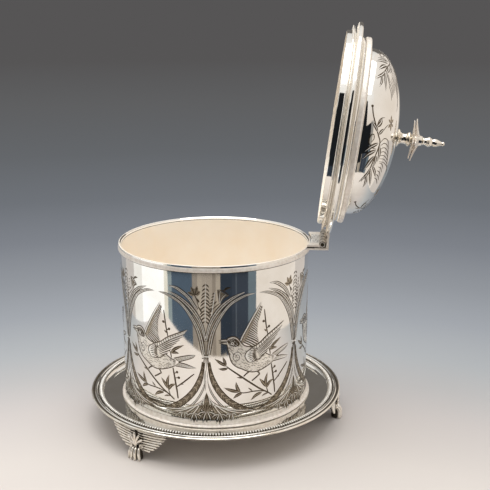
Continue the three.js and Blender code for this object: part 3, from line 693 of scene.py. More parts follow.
class Sketch:
    """Cut lines and shaded patches, each place as (right, up, height off the metal)."""

    def __init__(self, seed=5):
        self.flat, self.faces, self.marks = [], [], []
        self.chance = random.Random(seed)
        self.layer = 0.0  # raises what is drawn over something else

    def grid(self, rows, mark):
        first, count = len(self.flat), len(rows[0])
        for row in rows:
            self.flat += [(p.x, p.y, lift + self.layer) for p, lift in row]
        for i in range(len(rows) - 1):
            for k in range(count - 1):
                a = first + i * count + k
                face = [a, a + 1, a + count + 1, a + count]
                p, q, r = (Vector(self.flat[v][:2]) for v in (face[0], face[1], face[2]))
                s = Vector(self.flat[face[3]][:2])
                self.faces.append(face if (r - p).cross(s - q) > 0 else face[::-1])
                self.marks.append(mark)

    def stroke(self, points, width=0.5, mark=DARK, start=0.3, end=0.15, low=0.045):
        """One cut of the graver: widest in the middle, thinner to its ends."""
        count = max(3, int(reach(points) / 1.6) + 2)
        path = even(points, count)
        rows = []
        for i, p in enumerate(path):
            ahead = (path[min(i + 1, count - 1)] - path[max(i - 1, 0)]).normalized()
            side = Vector((-ahead.y, ahead.x))
            t = i / (count - 1)
            swell = math.sin(math.pi * min(1, max(0, t))) ** 0.6
            half = width / 2 * (start * (1 - t) + end * t + (1 - start * (1 - t) - end * t) * swell)
            rows.append([(p - side * half, low), (p, low + 0.045), (p + side * half, low)])
        self.grid(rows, mark)

    def leaf(self, points, width, mark=DARK, vein=None):
        """A small filled leaf from its foot to its tip."""
        count = max(5, int(reach(points) / 1.1) + 2)
        path = even(points, count)
        rows = []
        for i, p in enumerate(path):
            ahead = (path[min(i + 1, count - 1)] - path[max(i - 1, 0)]).normalized()
            side = Vector((-ahead.y, ahead.x))
            t = i / (count - 1)
            half = width / 2 * max(0.06, math.sin(math.pi * t**0.8) ** 0.85)
            rows.append([(p - side * half, 0.03), (p - side * half * 0.4, 0.055), (p + side * half * 0.4, 0.055), (p + side * half, 0.03)])
        self.grid(rows, mark)
        if vein is not None:
            self.stroke(points, width * 0.22, vein, low=0.07)

    def patch(self, one, other, mark, across=4):
        """Ground between two edges that run the same way."""
        count = max(4, int(max(reach(one), reach(other)) / 1.8))
        rows = []
        for p, q in zip(even(one, count), even(other, count)):
            row = [(p.lerp(q, k / across), 0.02 if k in (0, across) else 0.03) for k in range(across + 1)]
            rows.append(row)
        self.grid(rows, mark)

    def blade(self, one, other, veins=0, mark=SHADE, rake=3, line=0.42, edge=DARK, lit=True):
        """A long leaf between two edges, from foot to tip: ground, veins and outline."""
        self.patch(one, other, mark, 3)
        a, b = even(one, 41), even(other, 41)
        for k in range(veins):
            i = int(40 * (k + 0.3) / veins)
            j = min(40, i + rake)
            middle = a[i].lerp(b[i], 0.5 + self.chance.uniform(-0.1, 0.1))
            for rim in (a, b):
                if (rim[j] - middle).length > 0.5:
                    self.stroke([middle, middle.lerp(rim[j], 0.5), rim[j]], 0.65)
        for rim, far in ((a, b), (b, a)):
            self.stroke(rim[::4], line, edge, start=0.8, end=0.3, low=0.06)
            if lit and veins:
                self.stroke([p.lerp(q, 0.24) for p, q in zip(rim[::4], far[::4])], 0.5, BRIGHT, start=0.8, end=0.3, low=0.1)

    def dot(self, centre, radius, mark=DARK):
        c = Vector(centre)
        ring = [c + radius * Vector((math.cos(a), math.sin(a))) for a in [2 * math.pi * k / 12 for k in range(13)]]
        self.grid([[(p, 0.03) for p in ring], [(c.lerp(p, 0.5), 0.09) for p in ring], [(c, 0.1) for p in ring]], mark)

    def fern(self, spine, length, count, side=(1, -1), droop=0.35, width=0.75):
        """Pairs of leaflets off a stem, shorter towards the tip."""
        self.stroke(spine, 0.6, BRIGHT, start=0.9)
        path = even(spine, 41)
        for k in range(count):
            t = (k + 0.5) / count
            i = int(40 * t)
            p = path[i]
            ahead = (path[min(40, i + 1)] - path[max(0, i - 1)]).normalized()
            for s in side:
                out = Vector((-ahead.y, ahead.x)) * s
                size = length * (1 - 0.55 * t) * (0.55 + 0.45 * min(1, 4 * t))
                tip = p + out * size + ahead * size * droop
                self.leaf([p, p.lerp(tip, 0.5) + ahead * 0.15 * size, tip], width)

    def laid(self, name, surface, centres, body, place=BASE):
        """The sketch laid on a surface once round each centre, as one piece."""
        points, faces, marks = [], [], []
        for centre in centres:
            first = len(points)
            points += [place @ surface(centre, *p) for p in self.flat]
            faces += [[v + first for v in face] for face in self.faces]
            marks += self.marks
        return finish_mesh(name, mesh_of(name, points, faces, marks), CUT_MATERIALS, body)


def mirrored(points):
    return [(-x, y) for x, y in points]


FOOT_SIDE = ((DRUM_R, 3.2), (70.85, 2.5), (71.2, 2.1), (71.2, 1.0), (71.27, 0.1), (71.42, -0.8), (71.8, -1.4), (72.5, -1.75), (73.3, -1.9))


def on_wall(centre, x, y, lift):
    """On the wall, and below it on the side of the foot ring."""
    a, r = math.radians(centre) + x / DRUM_R, DRUM_R
    for (r0, z0), (r1, z1) in zip(FOOT_SIDE, FOOT_SIDE[1:]):
        if z1 <= y < z0:
            r = r0 + (r1 - r0) * (z0 - y) / (z0 - z1)
    r += lift
    return Vector((r * math.cos(a), r * math.sin(a), y))


DOME_PATH = [Vector(p) for p in dome_profile(DOME_R, DOME_RISE, DOME_POWER, 120)]


def on_dome(centre, x, y, lift):
    """Here x is in degrees round the lid's axis, about a millimetre each, and y runs up the dome."""
    a, i = math.radians(centre + x), 0
    while i < len(DOME_PATH) - 2 and y > (DOME_PATH[i + 1] - DOME_PATH[i]).length:
        y -= (DOME_PATH[i + 1] - DOME_PATH[i]).length
        i += 1
    along = (DOME_PATH[i + 1] - DOME_PATH[i]).normalized()
    p = DOME_PATH[i] + along * y + Vector((along.y, -along.x)) * lift
    return Vector((p.x * math.cos(a), p.x * math.sin(a), p.y + DOME_LOW))


def sheaf():
    """Ferns and long leaves tied at the waist, with the roots of two bands spreading below."""
    s = Sketch(3)
    outer = ([(-2.7, 52.7), (-3.8, 58.1), (-6.5, 70.4), (-11.9, 81.5), (-18.4, 89.6), (-28.4, 94.6), (-34.8, 96.0)],
             [(-0.8, 53.4), (-1.9, 64.2), (-5.8, 75.0), (-11.9, 85.0), (-19.2, 92.3), (-29.2, 96.3), (-34.8, 96.1)])
    second = ([(-0.8, 62.7), (-3.1, 71.9), (-6.1, 78.8), (-13.8, 88.8), (-23.1, 95.6), (-27.3, 97.7)],
              [(0.2, 65.7), (-2.3, 76.5), (-8.4, 87.3), (-17.7, 94.8), (-27.3, 98.0)])
    third = ([(-7.7, 87.3), (-13.8, 95.0), (-21.9, 100.4), (-26.5, 101.6)], [(-5.4, 86.5), (-10.8, 95.0), (-19.2, 101.3), (-26.5, 101.9)])
    for one, other in (second, outer):
        s.blade(one, other, veins=25, line=0.75)
        s.blade(mirrored(one), mirrored(other), veins=25, line=0.75)
    s.blade(*third, veins=12, line=0.75)
    # between the leaves: a tall fern, a half fern, a bell flower and a clover
    s.fern([(-0.2, 77), (-0.1, 88), (0.5, 106)], 4.8, 11, droop=-0.95, width=0.95)
    s.fern([(4.2, 82.0), (5.4, 90), (6.8, 99.5)], 3.4, 8, side=(1,), droop=-0.7, width=0.9)
    s.blade([(9.6, 91.5), (8.9, 96), (8.4, 100.6)], [(10.3, 91.0), (12.9, 94.5), (16.4, 96.2)], veins=8)
    s.stroke([(8.4, 100.6), (12.0, 99.9), (16.6, 96.4)], 0.8)
    s.leaf([(12.5, 99.8), (15, 101.5), (18, 101.8)], 1.6)
    s.stroke([(9.9, 91.0), (7.2, 88.6), (4.2, 86.0)], 0.6)
    s.stroke([(-8.8, 98.2), (-6.4, 94.6), (-4.6, 88.0)], 0.6)
    for x, y in ((-12.4, 98.4), (-9.8, 102.4), (-5.4, 103.2), (-3.4, 99.4)):
        s.leaf([(-7.0, 96.6), ((x - 7.0) / 2, (y + 96.6) / 2), (x, y)], 3.2, SHADE, vein=DARK)
    for x, y, tip_x, tip_y in ((-4.3, 91, -6.2, 94.5), (4.6, 90, 8.0, 92.6), (-2.6, 84, -5.4, 88.6), (2.4, 84, 5.2, 88.0)):
        s.leaf([(x, y), ((x + tip_x) / 2 + 0.4, (y + tip_y) / 2), (tip_x, tip_y)], 1.1)
    # stalks through the tie
    for x in (-2.3, -1.1, 0.1, 1.3, 2.3):
        s.stroke([(x * 1.2, 66), (x * 0.75, 55), (x * 0.5, 51.5), (x * 0.8, 47), (x * 1.4, 40)], 0.55)
    s.stroke([(-3.4, 52.6), (0, 51.2), (3.4, 52.4)], 0.8, BRIGHT, low=0.08)
    s.stroke([(-3.4, 50.2), (0, 51.6), (3.4, 50.0)], 0.8, BRIGHT, low=0.08)
    for x in (-2.3, 1.2):
        s.dot((x, 50.2), 0.6)
    # bands that frame the roundels
    band = ([(-2.7, 47.4), (-3.4, 42.8), (-4.8, 37.4), (-10.0, 26.7), (-18.4, 17.4), (-29.2, 10.5), (-36.9, 7.7)],
            [(-1.1, 46.7), (-2.7, 34.4), (-6.9, 24.4), (-13.8, 15.9), (-23.1, 9.4), (-36.9, 7.4)])
    for flip in (False, True):
        one, other = (mirrored(e) for e in band) if flip else band
        s.blade(one, other, veins=30, rake=2, line=0.75, lit=False)
    for side in (-1, 1):
        for lift in (0, 1, 2):
            path = [(0.6 * side, 40.5 - 4 * lift), (1.2 * side, 31), ((3.0 + lift) * side, 24 - lift), ((7.5 + 1.5 * lift) * side, 16.5 - lift),
                    ((14 + 2.4 * lift) * side, 9.6 - 1.2 * lift), ((21 + 2.5 * lift) * side, 5.2 - lift)]
            s.stroke(path, 0.6, BRIGHT if lift == 1 else DARK)
    s.leaf([(-0.9, 25), (-1.0, 33), (-0.8, 41.7)], 2.4, BRIGHT, vein=DARK)
    # dark ground at the foot, all round, with leaves and fans of leaves over it
    upper = [(0, 19.0), (4, 14.5), (9, 10.8), (16, 8.3), (24, 7.1), (31, 6.7), (36.9, 6.6)]
    lower = [(0, 2.7), (5, 2.5), (10, 2.8), (16, 3.8), (23, 5.3), (30, 6.2), (36.9, 6.4)]
    s.patch(upper, lower, DARK, 16)
    s.patch(mirrored(upper), mirrored(lower), DARK, 16)
    s.layer = 0.06
    for k in range(-9, 10):
        out = abs(k)
        side = -1 if k < 0 else 1
        x = side * (0.4 + 3.6 * out)
        start = (side * 0.16 * out, 24 - 0.9 * out)
        tip = (x, 2.4 + 0.055 * out * out)
        bend = (start[0] * 0.45 + x * 0.55, start[1] * 0.42 + tip[1] * 0.58 - 0.15 * out)
        s.leaf([start, bend, tip], 2.6, SHADE, vein=DARK)
        if k % 2:
            s.stroke([(start[0] + side, start[1] - 1), (bend[0] + side, bend[1] + 0.4), (x + side, tip[1] + 1.2)], 0.7, BRIGHT, low=0.1)
    s.layer = 0.17
    for middle, height, size in ((0, 8.8, 8.0), (9.2, 6.8, 6.4), (-9.2, 6.8, 6.4), (17.4, 6.8, 4.4), (-17.4, 6.8, 4.4)):
        for lean in (-75, -50, -25, 0, 25, 50, 75):
            turn = math.radians(lean)
            tip = (middle + size * 0.85 * math.sin(turn), max(-1.7, height - size * math.cos(turn) * s.chance.uniform(0.95, 1.2)))
            root = (middle + 0.8 * math.sin(turn), height + 0.4)
            bend = ((root[0] + tip[0]) / 2 + 0.5 * math.sin(turn), (root[1] + tip[1]) / 2 + 0.4)
            s.leaf([root, bend, tip], 0.3 * size, DARK)
            s.layer += 0.05
            s.stroke([root, bend, tip], 0.6, BRIGHT if lean % 50 else SHADE)
            s.layer -= 0.05
    s.layer = 0.28
    for x in (-6.0, -3.6, -1.3, 1.3, 3.6, 6.0):
        s.leaf([(x * 0.15, 9), (x * 0.7, 13.0), (x, 18.4 - abs(x) * 0.7)], 2.0, DARK, vein=SHADE)
    s.layer = 0.0
    return s


def bird(s):
    """A bird in flight towards the left, its far wing up and its near wing swept back."""
    top = [(-22.4, 63.7), (-21.5, 65.0), (-19.7, 65.7), (-17.8, 66.0), (-15.8, 65.4), (-14.1, 64.1), (-12.6, 61.9), (-10.1, 58.8), (-6.2, 57.1),
           (-2.8, 56.4), (1.9, 53.4), (6.5, 50.4), (10.7, 47.6), (14.4, 46.6)]
    under = [(-22.1, 60.2), (-21.8, 58.1), (-21.0, 55.0), (-20.5, 52.3), (-19.5, 48.2), (-17.8, 45.1), (-14.7, 42.5), (-11.6, 41.0), (-8.1, 39.0),
             (-5.1, 37.8), (-2.0, 37.3), (2.2, 37.7), (6.5, 39.0), (10.3, 40.5), (14.4, 42.6)]
    lead_far = [(-12.6, 61.7), (-10.8, 65.7), (-8.5, 69.6), (-6.2, 73.6), (-3.5, 78.1), (-0.5, 82.7), (3.5, 88.6)]
    trail_far = [(-2.8, 56.4), (1.0, 58.9), (0.3, 62.3), (-0.6, 65.0), (-0.4, 67.3), (-0.8, 69.6), (-0.4, 71.9), (-0.5, 74.2), (0.5, 77.3), (1.7, 81.1),
                 (3.5, 88.6)]
    s.patch(lead_far, trail_far, SHADE, 5)
    a, b = even(lead_far, 61), even(trail_far, 61)
    for k in range(19):
        i = 3 * k
        tip = b[i] + Vector((1.3, -1.2))
        s.leaf([a[i + 2].lerp(tip, 0.15), a[i + 1].lerp(tip, 0.6) + Vector((0.3, 0.5)), tip], 1.35)
        s.stroke([a[i + 3].lerp(b[i], 0.25), a[i + 3].lerp(b[i], 0.6) + Vector((0.4, 0.5)), b[i] + Vector((0.8, 0.2))], 0.6, BRIGHT, low=0.06)
    s.stroke(lead_far, 0.9, BRIGHT, start=0.9, low=0.075)
    s.stroke([(x + 0.7, y - 0.3) for x, y in lead_far[:-1]], 0.6, start=0.9, low=0.07)
    s.stroke([(x - 0.7, y + 0.2) for x, y in lead_far], 0.4, start=0.9)
    # tail
    for one, other in (([(13.0, 48.1), (18.4, 50.0), (24.2, 51.5), (29.4, 52.2)], [(16.9, 45.6), (19.9, 46.9), (27.2, 49.9), (29.4, 52.2)]),
                       ([(16.9, 45.5), (21.9, 44.8), (26.5, 43.3), (29.7, 42.3)], [(13.8, 42.3), (18.8, 42.1), (24.2, 41.9), (29.7, 42.3)])):
        s.blade(one, other, veins=9, line=0.6)
        s.stroke([Vector(p).lerp(Vector(q), 0.5) for p, q in zip(one, other)], 0.6, BRIGHT, low=0.07)
    # body, with rows of small feathers
    s.layer = 0.05
    s.patch(top, under, PALE, 8)
    a, b = even(top, 61), even(under, 61)
    for i in range(3, 59, 2):
        for j in range(1, 10):
            p = a[i].lerp(b[i], (j + 0.5 * (i // 2 % 2)) / 10)
            size = s.chance.uniform(1.6, 2.6)
            along = (a[min(60, i + 2)].lerp(b[min(60, i + 2)], j / 10) - p).normalized()
            kind = DARK if s.chance.random() < 0.45 else BRIGHT
            s.stroke([p, p + along * size * 0.5 + Vector((0, -0.4)), p + along * size + Vector((0, s.chance.uniform(-0.3, 0.3)))], 0.42, kind)
    for rim in (top, under):
        s.stroke(rim, 0.8, start=0.9, end=0.6, low=0.06)
    for turns, grow, kind in ((21, 4.3, DARK), (15, 3.2, BRIGHT)):
        spiral = []
        for k in range(turns):
            turn, r = 0.55 * k, grow * (1 - k / (turns + 4))
            spiral.append((-15.1 + r * 0.85 * math.cos(turn), 50.2 + r * math.sin(turn)))
        s.stroke(spiral, 0.5, kind, low=0.06)
    # head
    s.layer = 0.09
    s.patch([(-22.2, 62.9), (-20.1, 64.4), (-17.4, 64.8), (-14.7, 63.2), (-12.9, 60.8)], [(-20.8, 60.0), (-18.5, 58.4), (-15.8, 58.0), (-13.4, 58.8), (-12.9, 60.8)], DARK, 4)
    s.layer = 0.16
    s.dot((-18.3, 60.9), 1.1, BRIGHT)
    s.layer = 0.25
    s.dot((-18.3, 60.9), 0.55)
    s.layer = 0.0
    s.blade([(-22.4, 64.0), (-25.1, 64.0), (-28.0, 63.3)], [(-22.6, 62.5), (-25.1, 62.6), (-28.0, 63.2)], veins=0, mark=PALE, line=0.5)
    s.blade([(-22.8, 62.0), (-25.1, 61.8), (-27.8, 61.8)], [(-22.0, 60.2), (-25.1, 60.9), (-27.8, 61.7)], veins=0, mark=PALE, line=0.5)
    # near wing: coverts at the shoulder, then long feathers
    s.layer = 0.12
    lead = [(-5.4, 55.2), (-2.8, 56.6), (0.3, 57.9), (3.4, 59.6), (7.2, 62.6), (13.4, 66.0), (24.0, 70.9)]
    trail = [(-3.9, 45.2), (1.1, 46.4), (4.4, 48.4), (7.1, 50.8), (9.8, 53.6), (12.1, 57.4), (15.7, 61.0), (19.2, 64.8), (24.0, 70.9)]
    s.patch(lead, trail, PALE, 6)
    a, b = even(lead, 61), even(trail, 61)
    for k in range(7):
        # one long feather: light vane, dark edge, barbs
        share = (k + 1) / 8
        root = a[6].lerp(b[10], 0.1 + 0.8 * share)
        tip = b[min(60, int(60 - 44 * share))] + Vector((0.6, 0.5))
        middle = root.lerp(tip, 0.5) + Vector((-0.6, 0.9)) * (1 - share)
        s.stroke([root, middle, tip], 1.2, BRIGHT, low=0.05)
        s.stroke([root + Vector((0.5, -0.8)), middle + Vector((0.6, -0.9)), tip + Vector((0.5, -0.5))], 0.8, low=0.08)
    for k in range(13):
        i = 6 + 4 * k
        s.stroke([a[i], a[i].lerp(b[i], 0.2) + Vector((-0.5, 0)), a[i].lerp(b[i], 0.36)], 0.6, low=0.11)
    shoulder = [(-4.6, 55.4), (-8.1, 53.3), (-9.3, 50.4), (-8.1, 47.4), (-6.2, 45.4), (-3.4, 45.0)]
    inner = [(-2.8, 55.0), (-3.6, 53.2), (-4.0, 50.4), (-3.5, 47.8), (-2.8, 46.6), (-2.2, 45.8)]
    s.layer = 0.2
    s.patch(shoulder, inner, BRIGHT, 3)
    for p, q in zip(even(shoulder, 9), even(inner, 9)):
        s.stroke([q, p.lerp(q, 0.35)], 0.7)
        away = (q - p).normalized() * 3.4
        s.stroke([q, q + away * 0.5, q + away], 0.8)
    for edge in (lead, shoulder, trail[:4]):
        s.stroke(edge, 0.7, start=0.9)
    s.layer = 0.0
    s.stroke([(-5.8, 38.1), (-8.0, 36.9), (-10.1, 35.0)], 1.1, start=0.9, end=0.9)
    s.stroke([(0.3, 37.5), (1.6, 36.0), (2.2, 34.7)], 1.1, start=0.9, end=0.9)
    s.stroke([(2.4, 34.9), (-0.6, 32.8), (-3.9, 30.7)], 1.1, start=0.9, end=0.9)


TWIGS = (
    (1.3, (-22.4, 43.6), (-20.5, 41.9), (-15.8, 38.1), (-10.5, 33.8), (-3.5, 28.1), (3.4, 22.7), (9.5, 18.8), (12.8, 16.1)),
    (0.9, (6.5, 20.4), (1.9, 21.7), (-3.5, 22.3), (-7.4, 22.1), (-11.2, 22.3), (-13.1, 23.3)),
    (1.3, (12.2, 40.7), (13.0, 36.1), (13.8, 31.1), (14.5, 26.5), (15.1, 22.7), (15.7, 17.4)),
    (0.9, (9.9, 53.4), (10.7, 51.5), (11.2, 48.2)),
    (1.0, (5.9, 83.1), (6.6, 77.3), (7.4, 71.1), (8.2, 66.9), (8.9, 63.6)),
    (1.1, (28.2, 37.8), (22.6, 32.8), (18.8, 29.4), (15.1, 26.5)),
    (0.8, (8.0, 23.4), (8.8, 21.1), (9.5, 19.0)),
    (0.8, (8.0, 23.0), (9.4, 25.6), (11.5, 27.6)),
    (0.7, (5.6, 74.4), (7.1, 73.6)), (0.7, (9.9, 69.7), (8.0, 68.6)), (0.7, (15.3, 37.7), (13.2, 36.4)), (0.7, (16.6, 33.6), (13.8, 33.0)),
    (0.6, (-21.2, 13.8), (-4.3, 13.6), (13.4, 14.1)), (0.8, (-18.9, 12.1), (-4.3, 11.9), (10.3, 12.7)),
)
TWIG_LEAVES = (
    (1.9, (-22.4, 43.8), (-26.6, 46.5), (-30.8, 49.7)), (1.7, (-22.8, 44.1), (-23.9, 47.7), (-25.1, 51.1)), (1.7, (-21.5, 42.1), (-25.1, 41.7), (-28.3, 42.2)),
    (0.9, (-10.8, 33.6), (-12.8, 34.3), (-15.2, 34.7)), (2.1, (-13.1, 23.3), (-18.9, 25.0), (-24.5, 27.4)), (2.0, (-12.6, 22.8), (-14.9, 26.5), (-15.8, 31.3)),
    (2.0, (-11.1, 22.1), (-14.3, 21.3), (-17.9, 18.7)), (0.9, (-3.5, 22.7), (-5.1, 24.2), (-6.9, 25.7)), (2.0, (4.2, 20.1), (-0.5, 18.9), (-4.7, 15.6)),
    (1.0, (9.5, 18.3), (6.5, 18.1), (4.0, 16.9)), (1.0, (8.2, 66.3), (6.9, 67.3), (5.9, 68.4)), (1.9, (10.7, 51.1), (13.8, 55.0), (21.2, 59.0)),
    (1.6, (11.1, 51.7), (14.2, 52.6), (17.4, 52.1)), (0.9, (17.2, 28.4), (18.6, 29.0), (20.2, 28.8)), (2.0, (7.9, 23.4), (7.3, 28.8), (8.9, 34.6)),
    (2.0, (7.9, 23.4), (5.3, 27.3), (2.1, 31.1)), (2.0, (8.0, 22.5), (10.2, 26.3), (14.2, 28.4)),
)


def roundel():
    s = Sketch(11)
    for width, *path in TWIGS:
        s.stroke(path, width, start=0.6, end=0.7)
    for width, *path in TWIG_LEAVES:
        s.leaf(path, 1.25 * width, DARK, vein=SHADE)
    for place in ((5.3, 74.4), (9.9, 69.7), (15.3, 37.7), (16.6, 33.6)):
        s.dot(place, 1.0)
    bird(s)
    return s


def dome_spray():
    """A leafy branch along the foot of the dome, with ripples and a small flower above it."""
    s = Sketch(17)
    s.stroke([(-26.2, 4.3), (-21.1, 5.6), (-16.4, 7.7), (-8.2, 12.0), (-3.7, 14.6), (1.0, 14.1), (8.2, 12.0), (15.4, 10.0), (25.5, 5.2)], 1.0, start=0.7)
    s.dot((-26.2, 4.3), 0.9)
    s.stroke([(-2.7, 7.2), (-5.2, 9.0), (-8.4, 8.2), (-7.2, 6.2), (-2.9, 5.6), (0.6, 8.6), (1.6, 12.6)], 0.8)
    s.stroke([(-13.2, 9.6), (-18.0, 10.9), (-20.3, 13.2), (-21.2, 16.0)], 0.7)
    for width, *path in (
        (3.0, (-13.2, 9.6), (-16.5, 12.4), (-20.2, 13.4)), (2.6, (-8.5, 12.4), (-11.4, 14.8), (-13.2, 17.0)), (2.2, (-10.0, 11.2), (-13.4, 8.6), (-16.6, 5.2)),
        (2.8, (-2.7, 13.4), (0.3, 7.6), (3.5, 4.1)), (3.0, (2.2, 12.4), (5.0, 6.9), (8.6, 3.3)), (3.0, (6.4, 11.6), (10.6, 8.6), (16.4, 5.6)),
        (2.8, (-0.6, 14.8), (5.3, 16.2), (11.5, 15.3)), (2.4, (6.0, 12.9), (10.5, 13.4), (14.9, 12.2)), (2.4, (15.1, 10.0), (19.6, 8.6), (25.7, 3.6)),
        (2.2, (15.3, 10.4), (21.6, 11.4), (31.6, 13.2)), (2.2, (13.0, 11.1), (19.3, 14.8), (25.9, 17.2)), (2.0, (20.0, 8.2), (26.0, 8.6), (31.0, 7.4)),
    ):
        s.leaf(path, width, DARK, vein=BRIGHT)
    # nested ripples that open towards the finial
    for k in range(7):
        s.stroke([(-2.8 + 2.4 * k, 15.0 + 0.4 * k), (-6.2 + 3.6 * k, 18.8 + 1.0 * k), (-4.4 + 5.0 * k, 24.4 + 1.3 * k), (3.3 + 5.6 * k, 28.4 + 0.8 * k)], 0.7)
    for k in range(5):
        s.stroke([(13.0 + 3.0 * k, 18.0 - 0.6 * k), (15.5 + 3.2 * k, 22.0 - 0.8 * k), (21.0 + 3.4 * k, 24.6 - 1.0 * k)], 0.7)
    # flower
    for k in range(6):
        a = math.radians(60 * k + 14)
        c, ahead = Vector((-19.5, 24.8)), Vector((1.5 * math.cos(a), math.sin(a)))
        s.leaf([c + ahead * 0.8, c + ahead * 2.6, c + ahead * 4.4], 2.4, SHADE, vein=DARK)
    s.dot((-19.5, 24.8), 1.2)
    s.stroke([(-17.5, 21.2), (-14.8, 18.6), (-9.6, 14.4)], 0.6)
    return s


def engraving():
    sheaf().laid("drum_sheaf_engraving", on_wall, [1.8 + 60 * k for k in range(6)], "base")
    roundel().laid("drum_bird_engraving", on_wall, [31.8 + 60 * k for k in range(6)], "base")
    dome_spray().laid("dome_engraving", on_dome, [72 * k for k in range(5)], "lid", LID)


# Stage


def stage_mesh(name, points, faces, material):
    mesh = mesh_of(name, points, faces)
    mesh.materials.append(material)
    made = bpy.data.objects.new(name, mesh)
    bpy.context.collection.objects.link(made)
    return made


def floor_material(name="pale_floor_painted_falloff", painted_glow=0.0):
    """A pale ground whose colour darkens away from the front, a painted falloff of the light; a glow strength adds a
    painted glow of that colour where only polish sees it.
    """
    made = bpy.data.materials.new(name)
    made.use_nodes = True
    tree = made.node_tree
    shader = tree.nodes["Principled BSDF"]
    shader.inputs["Roughness"].default_value = 0.9
    shader.inputs["Specular IOR Level"].default_value = 0.0
    coords = node(tree, "ShaderNodeTexCoord").outputs["Object"]
    away = node(tree, "ShaderNodeVectorMath", {0: coords, 1: (0.40, 0.03, TABLE_Z * MM)}, operation="DISTANCE").outputs["Value"]
    near = node(tree, "ShaderNodeMapRange", {"Value": away, "From Min": 0.0, "From Max": 4.0}).outputs["Result"]
    # painted falloff: the floor's colour darkens with distance as the light falls off
    stops = [(0.0, "dbd3ce"), (0.085, "d3ccc6"), (0.105, "c4bebb"), (0.122, "b0afaf"), (0.136, "a3a6a9"), (0.162, "90949a"),
             (0.19, "82868c"), (0.235, "71757c"), (0.295, "65696f"), (0.4, "606367"), (0.6, "616264"), (1.0, "5b5a5b")]
    painted_falloff = node(tree, "ShaderNodeValToRGB", {"Fac": near}, stops).outputs["Color"]
    tree.links.new(painted_falloff, shader.inputs["Base Color"])
    # painted glow: the colour also glows, brightening the table where the metal mirrors it
    if painted_glow:
        tree.links.new(painted_falloff, shader.inputs["Emission Color"])
        shader.inputs["Emission Strength"].default_value = painted_glow
    return made


def glow(name, colour, strength=1.0, top=None, low=0.0, high=1.0):
    """An even glow, or one that changes to the top colour between two heights in millimetres."""
    made = bpy.data.materials.new(name)
    made.use_nodes = True
    tree = made.node_tree
    tree.nodes.clear()
    light = node(tree, "ShaderNodeEmission", {"Color": srgb(colour), "Strength": strength})
    if top:
        coords = node(tree, "ShaderNodeTexCoord").outputs["Object"]
        height = node(tree, "ShaderNodeSeparateXYZ", {"Vector": coords}).outputs["Z"]
        share = node(tree, "ShaderNodeMapRange", {"Value": height, "From Min": low * MM, "From Max": high * MM}).outputs["Result"]
        fade = node(tree, "ShaderNodeValToRGB", {"Fac": share}, [(0.0, colour), (1.0, top)])
        tree.links.new(fade.outputs["Color"], light.inputs["Color"])
    end = node(tree, "ShaderNodeOutputMaterial")
    tree.links.new(light.outputs[0], end.inputs[0])
    return made


def only_in_polish(thing):
    """A card that the metal mirrors and nothing else sees."""
    thing.visible_camera = False
    thing.visible_diffuse = False
    thing.visible_shadow = False
    thing.visible_transmission = False
    thing.visible_volume_scatter = False


def card(name, start, end, low, high, colour, strength=1.0, distance=1100.0, top=None):
    """An upright card on a circle round the barrel, between two directions in degrees."""
    steps = max(1, int(abs(end - start) / 4))
    points = []
    for k in range(steps + 1):
        a = math.radians(start + (end - start) * k / steps)
        for z in (low, high):
            points.append((distance * math.cos(a), distance * math.sin(a), z))
    faces = [[2 * k, 2 * k + 2, 2 * k + 3, 2 * k + 1] for k in range(steps)]
    made = stage_mesh(name, points, faces, glow(name, colour, strength, top, low, high))
    only_in_polish(made)
    return made


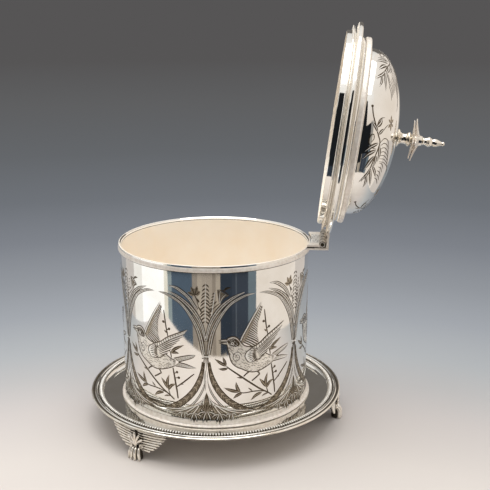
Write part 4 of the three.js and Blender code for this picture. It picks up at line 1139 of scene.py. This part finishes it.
def stage():
    material = floor_material()
    size = 30000.0
    floor = stage_mesh("floor", [(-size, -size, TABLE_Z), (size, -size, TABLE_Z), (size, size, TABLE_Z), (-size, size, TABLE_Z)], [[0, 1, 2, 3]], material)
    floor.visible_glossy = False
    back, lift = -6000.0, TABLE_Z + 0.5
    edge = [(back, -300), (205, -300), (225, -262), (243, -244), (254, -200), (264, -150), (266, -86), (260, -40), (250, 40), (238, 90), (238, 135),
            (209, 205), (177, 253), (71, 288), (back, 288)]
    table = stage_mesh("table_in_polish", [(x, y, lift) for x, y in edge], [list(range(len(edge)))], floor_material("table_polish_view_painted_glow", 0.05))
    only_in_polish(table)
    # what the polish mirrors beyond the table's edge, by direction from the camera's side
    low, high = -900.0, -24.0
    for name, start, end, colour, strength in (
        ("card_far_left", -180, -125, "adadaf", 1.0),
        ("card_left", -125, -104, "cec9c6", 1.0),
        ("card_left_bright", -104, -88, "f4f3f0", 1.05),
        ("card_window", -88, -54, "ffffff", 1.2),
        ("card_window_frame", -54, -49, "efece0", 1.0),
        ("card_window_edge", -49, -44, "93a0a4", 1.0),
        ("card_blind_left", -44, -19, "526171", 1.0),
        ("card_curtain_1", -19, -13, "978e84", 1.0),
        ("card_curtain_2", -13, -8, "b0a699", 1.0),
        ("card_curtain_3", -8, 4, "a89e92", 1.0),
        ("card_curtain_4", 4, 8, "92887d", 1.0),
        ("card_curtain_5", 8, 14, "aea497", 1.0),
        ("card_curtain_6", 14, 20, "999085", 1.0),
        ("card_blind_right", 20, 31, "3a414c", 1.0),
        ("card_blind_bar", 31, 32.2, "5a616a", 1.0),
        ("card_blind_right_2", 32.2, 46, "3d444f", 1.0),
        ("card_blind_edge", 46, 56, "6c7982", 1.0),
        ("card_right_near", 56, 118, "efe6dd", 1.0),
        ("card_right_far", 118, 146, "d2cac4", 1.0),
        ("card_behind_right", 146, 180, "8e9296", 1.0),
    ):
        card(name, start, end, low, high, colour, strength)
    card("card_room", -50, 24, -205.0, 1400.0, "1b1d20", distance=1095.0)
    card("card_room_right", 24, 46, -205.0, 480.0, "1b1d20", distance=1095.0)
    for name, colour, y1, z0, z1 in (("card_near_low", "323a45", 112, -22, 62), ("card_near_high", "1d2024", 150, 62, 190)):
        only_in_polish(stage_mesh(name, [(245, y, z) for y, z in ((55, z0), (y1, z0), (y1, z1), (55, z1))], [[0, 1, 2, 3]], glow(name, colour)))
    card("card_behind", 158, 216, 120.0, 900.0, "6f6b67", 1.0, 1300.0)
    card("card_right_wall", 56, 158, -24.0, 3000.0, "ede2d7", top="ffffff")
    card("card_right_window", 24, 56, 480.0, 1600.0, "e4d9cf", top="ffffff")

    world = bpy.data.worlds.new("studio")
    bpy.context.scene.world = world
    world.use_nodes = True
    tree = world.node_tree
    coords = node(tree, "ShaderNodeTexCoord").outputs["Generated"]
    height = node(tree, "ShaderNodeSeparateXYZ", {"Vector": coords}).outputs["Z"]
    lift = node(tree, "ShaderNodeMapRange", {"Value": height, "From Min": -1.0, "From Max": 1.0}).outputs["Result"]
    stops = [(0.0, "8f8a82"), (0.49, "99958f"), (0.53, "8a8886"), (0.62, "a3a19e"), (0.75, "dad8d5"), (1.0, "ffffff")]
    colours = node(tree, "ShaderNodeValToRGB", {"Fac": lift}, stops).outputs["Color"]
    back_node = tree.nodes["Background"]
    tree.links.new(colours, back_node.inputs["Color"])
    back_node.inputs["Strength"].default_value = 1.15

    for name, place, size, energy, colour in (
        ("light_over", (0, -60, 1300), 1300, 11.0, "ffffff"),
    ):
        data = bpy.data.lights.new(name, "AREA")
        data.shape, data.size, data.energy = "SQUARE", size * MM, energy
        data.color = srgb(colour)[:3]
        made = bpy.data.objects.new(name, data)
        made.location = Vector(place) * MM
        bpy.context.collection.objects.link(made)


def camera():
    data = bpy.data.cameras.new("camera")
    data.sensor_width = 36.0
    data.lens = 924.42 * 36.0 / 490
    data.shift_y = 49 / 490
    data.clip_start, data.clip_end = 0.01, 100.0
    made = bpy.data.objects.new("camera", data)
    bpy.context.collection.objects.link(made)
    look = Vector((-0.9955, -0.0946, 0)).normalized()
    down = math.radians(18.48)
    look = look * math.cos(down) - Vector((0, 0, 1)) * math.sin(down)
    made.location = Vector((664.8, 86.1, 298.1)) * MM
    made.rotation_mode = "QUATERNION"
    made.rotation_quaternion = look.to_track_quat("-Z", "Y")
    bpy.context.scene.camera = made


camera()
drum()
tray()
lid()
finial()
foot("foot_back_casting", 90, ["foot_back"])
foot("foot_left_casting", 210, ["foot_left"])
foot("foot_right_casting", -30, ["foot_right"])
hinge()
engraving()
for hidden in ("drum_stud", "drum_stud_washer", "drum_stud_nut", "finial_stud", "finial_washer", "finial_nut"):
    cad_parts[hidden].data.materials.clear()
    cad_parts[hidden].data.materials.append(BRASS)
stage()

scene = bpy.context.scene
scene.view_settings.view_transform = "Standard"
scene.view_settings.look = "None"
